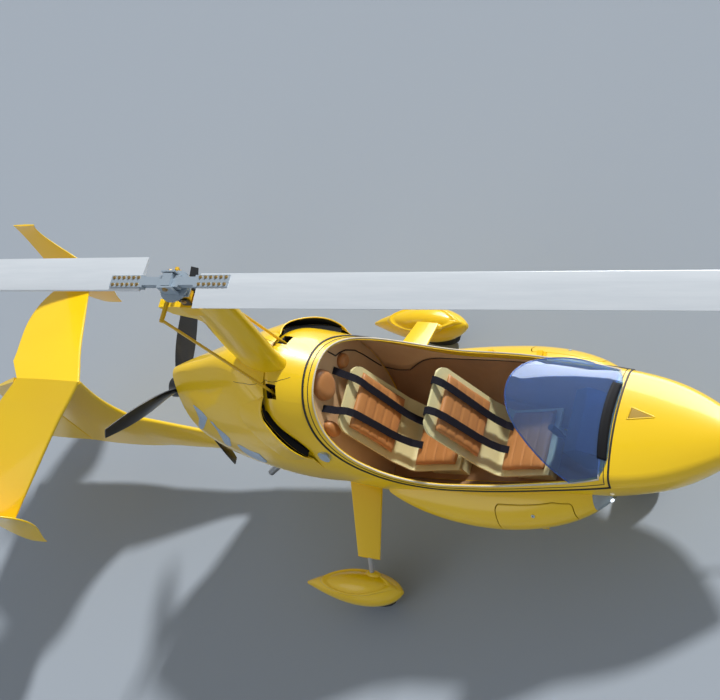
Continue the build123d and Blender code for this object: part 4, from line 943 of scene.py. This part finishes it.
def ribs(name, centre, radius, width, shifts, body):
    """Raised tread bands round a tyre."""
    profile = ((-width / 2, TREAD_DROP), (-width / 2 + TREAD_CHAMFER, TREAD_RISE),
               (width / 2 - TREAD_CHAMFER, TREAD_RISE), (width / 2, TREAD_DROP))
    points, faces = [], []
    for shift in shifts:
        base = len(points)
        for k in range(TREAD_AROUND):
            angle = 2 * math.pi * k / TREAD_AROUND
            for dy, dr in profile:
                r = radius - CROWN_SHARE * (shift / TYRE_HALF_WIDTH) ** 2 * CROWN_DROP + dr
                points.append((centre[0] + r * math.cos(angle), centre[1] + shift + dy,
                               centre[2] + r * math.sin(angle)))
        for k in range(TREAD_AROUND):
            a, b = base + 4 * k, base + 4 * ((k + 1) % TREAD_AROUND)
            faces += [(a + c, a + c + 1, b + c + 1, b + c) for c in range(3)]
    data = bpy.data.meshes.new(name)
    data.from_pydata(points, [], faces)
    fit(name, data, tyre_rubber, body)


for side, sign in SIDES:
    x, y, z = MAIN_AXLE
    ribs(f"tread_{side}", (x, sign * y, z), MAIN_RADIUS, MAIN_RIB_WIDTH, MAIN_RIBS,
         f"main_wheel_{side}")
ribs("tread_nose", NOSE_AXLE, NOSE_RADIUS, NOSE_RIB_WIDTH, NOSE_RIBS, "nose_wheel")

# Rotor head: machined and bead-blasted aluminium blocks on plain bearings, with plated bolts. The
# pitch block and its yoke are enamelled yellow, as are the two push rods.
STRAP_Z, STRAP_HALF = 2.598, 0.0183
ROOT_BOLT_X, ROOT_BOLT_PITCH, ROOT_BOLT_Y = 0.205, 0.033, 0.02
ROOT_BOLT_RADIUS, ROOT_BOLT_HEIGHT = 0.0075, 0.008
PIVOT_NUT_RADIUS, TEETER_NUT_HEIGHT, PIVOT_NUT_HEIGHT = 0.013, 0.010, 0.009
TEETER_Y, TEETER_Z = 0.0515, 2.622
PITCH_Y, PITCH_Z = 0.0415, 2.452
ROLL_X, ROLL_Z = 0.0475, 2.49
FOOT_PAINT_Z = 2.405
# Bead-blasted aluminium: dull grey with an even fine grain, drawn at 3 mm.
blasted = patterned("blasted_aluminium", "#B7C4CE", "#98A6B2",
                    ("Noise", {"Scale": 300.0, "Detail": 3.0}), 0.1, 0.0003,
                    Metallic=0.5, Roughness=0.45)
# Cadmium plate, passivated: brass-coloured, and uneven from bolt to bolt.
plated = patterned("plated_bolts", "#C9A44A", "#B0A089", ("Noise", {"Scale": 90.0}),
                   Metallic=1.0, Roughness=0.35)
# Sprayed enamel, a deeper yellow than the hull's, with a faint orange peel of 11 mm.
yellow_enamel = grained("yellow_enamel", "#E0B21C", 0.35, 90.0)
# The mast head's foot is painted with the mast, and its cheeks above are black enamel.
head_paint = grained("two_tone_enamel", "#141518", 0.35, 60.0)
tree = head_paint.node_tree
place = tree.nodes["Texture Coordinate"]
height = add(tree, "ShaderNodeSeparateXYZ", links={"Vector": place.outputs["Object"]})
foot = add(tree, "ShaderNodeMath", {"operation": "LESS_THAN", 1: FOOT_PAINT_Z},
           {0: height.outputs["Z"]})
paint = add(tree, "ShaderNodeMix",
            {"data_type": "RGBA", COLOUR_A: linear("#141518"), COLOUR_B: linear(HULL_YELLOW)},
            {"Factor": foot.outputs[0]})
tree.links.new(paint.outputs[COLOUR_OUT], tree.nodes["Principled BSDF"].inputs["Base Color"])
dress(blasted, "roll_head", "rotor_shaft", "hub_bar")
dress(head_paint, "mast_head")
dress(yellow_enamel, "pitch_head", "push_rods")


def bolts(name, places, facing, radius, height, body):
    """Hexagon bolt heads on washers, their seats at places."""
    facing = Vector(facing)
    mesh = bmesh.new()
    for where in places:
        for sides, r, low, high in ((20, radius * 1.35, 0.0, height * 0.25),
                                    (6, radius, height * 0.2, height)):
            middle = Vector(where) + facing.normalized() * (low + high) / 2
            bmesh.ops.create_cone(mesh, cap_ends=True, segments=sides, radius1=r,
                                  radius2=r * 0.96, depth=high - low,
                                  matrix=Matrix.Translation(middle) @ turned_to(facing))
    data = bpy.data.meshes.new(name)
    mesh.to_mesh(data)
    mesh.free()
    fit(name, data, plated, body)


root_bolts = [(sign * (ROOT_BOLT_X + ROOT_BOLT_PITCH * k), y)
              for sign in (1, -1) for k in range(6) for y in (-ROOT_BOLT_Y, ROOT_BOLT_Y)]
for name, sign in (("root_bolts", 1), ("root_nuts", -1)):
    bolts(name, [(x, y, STRAP_Z + sign * STRAP_HALF) for x, y in root_bolts], (0, 0, sign),
          ROOT_BOLT_RADIUS, ROOT_BOLT_HEIGHT, "rotor")
for side, sign in SIDES:
    bolts(f"teeter_nut_{side}", [(0, sign * TEETER_Y, TEETER_Z)], (0, sign, 0),
          PIVOT_NUT_RADIUS, TEETER_NUT_HEIGHT, "rotor_drive")
    bolts(f"pitch_nut_{side}", [(0, sign * PITCH_Y, PITCH_Z)], (0, sign, 0),
          PIVOT_NUT_RADIUS, PIVOT_NUT_HEIGHT, "airframe")
for end, sign in (("fore", 1), ("aft", -1)):
    bolts(f"roll_nut_{end}", [(sign * ROLL_X, 0, ROLL_Z)], (sign, 0, 0),
          PIVOT_NUT_RADIUS, PIVOT_NUT_HEIGHT, "roll_block")

# Rotor blades: extruded aluminium, bolted through the hub bar, with a pale grey lacquer. It shows
# faint streaks along the span, where the spray gun passed.
blade_skin, tree, shader, spot = new_material(
    "pale_grey_lacquer", Roughness=0.28, Metallic=0.15, Coat_Weight=0.3)
stretch = add(tree, "ShaderNodeMapping", {"Scale": (1.0, 14.0, 14.0)}, {"Vector": spot})
streak = add(tree, "ShaderNodeTexNoise", {"Scale": 3.0, "Detail": 4.0},
             {"Vector": stretch.outputs["Vector"]})
tone = add(tree, "ShaderNodeMix",
           {"data_type": "RGBA", COLOUR_A: linear("#D9DEE2"), COLOUR_B: linear("#C6CDD3")},
           {"Factor": streak.outputs["Fac"]})
tree.links.new(tone.outputs[COLOUR_OUT], shader.inputs["Base Color"])
dress(blade_skin, "blade_fore", "blade_aft")

# Fittings: a filler cap on the right flank and a pitot tube under the nose, both turned from
# aluminium and polished.
dress(bright_alloy, "filler_cap", "pitot")
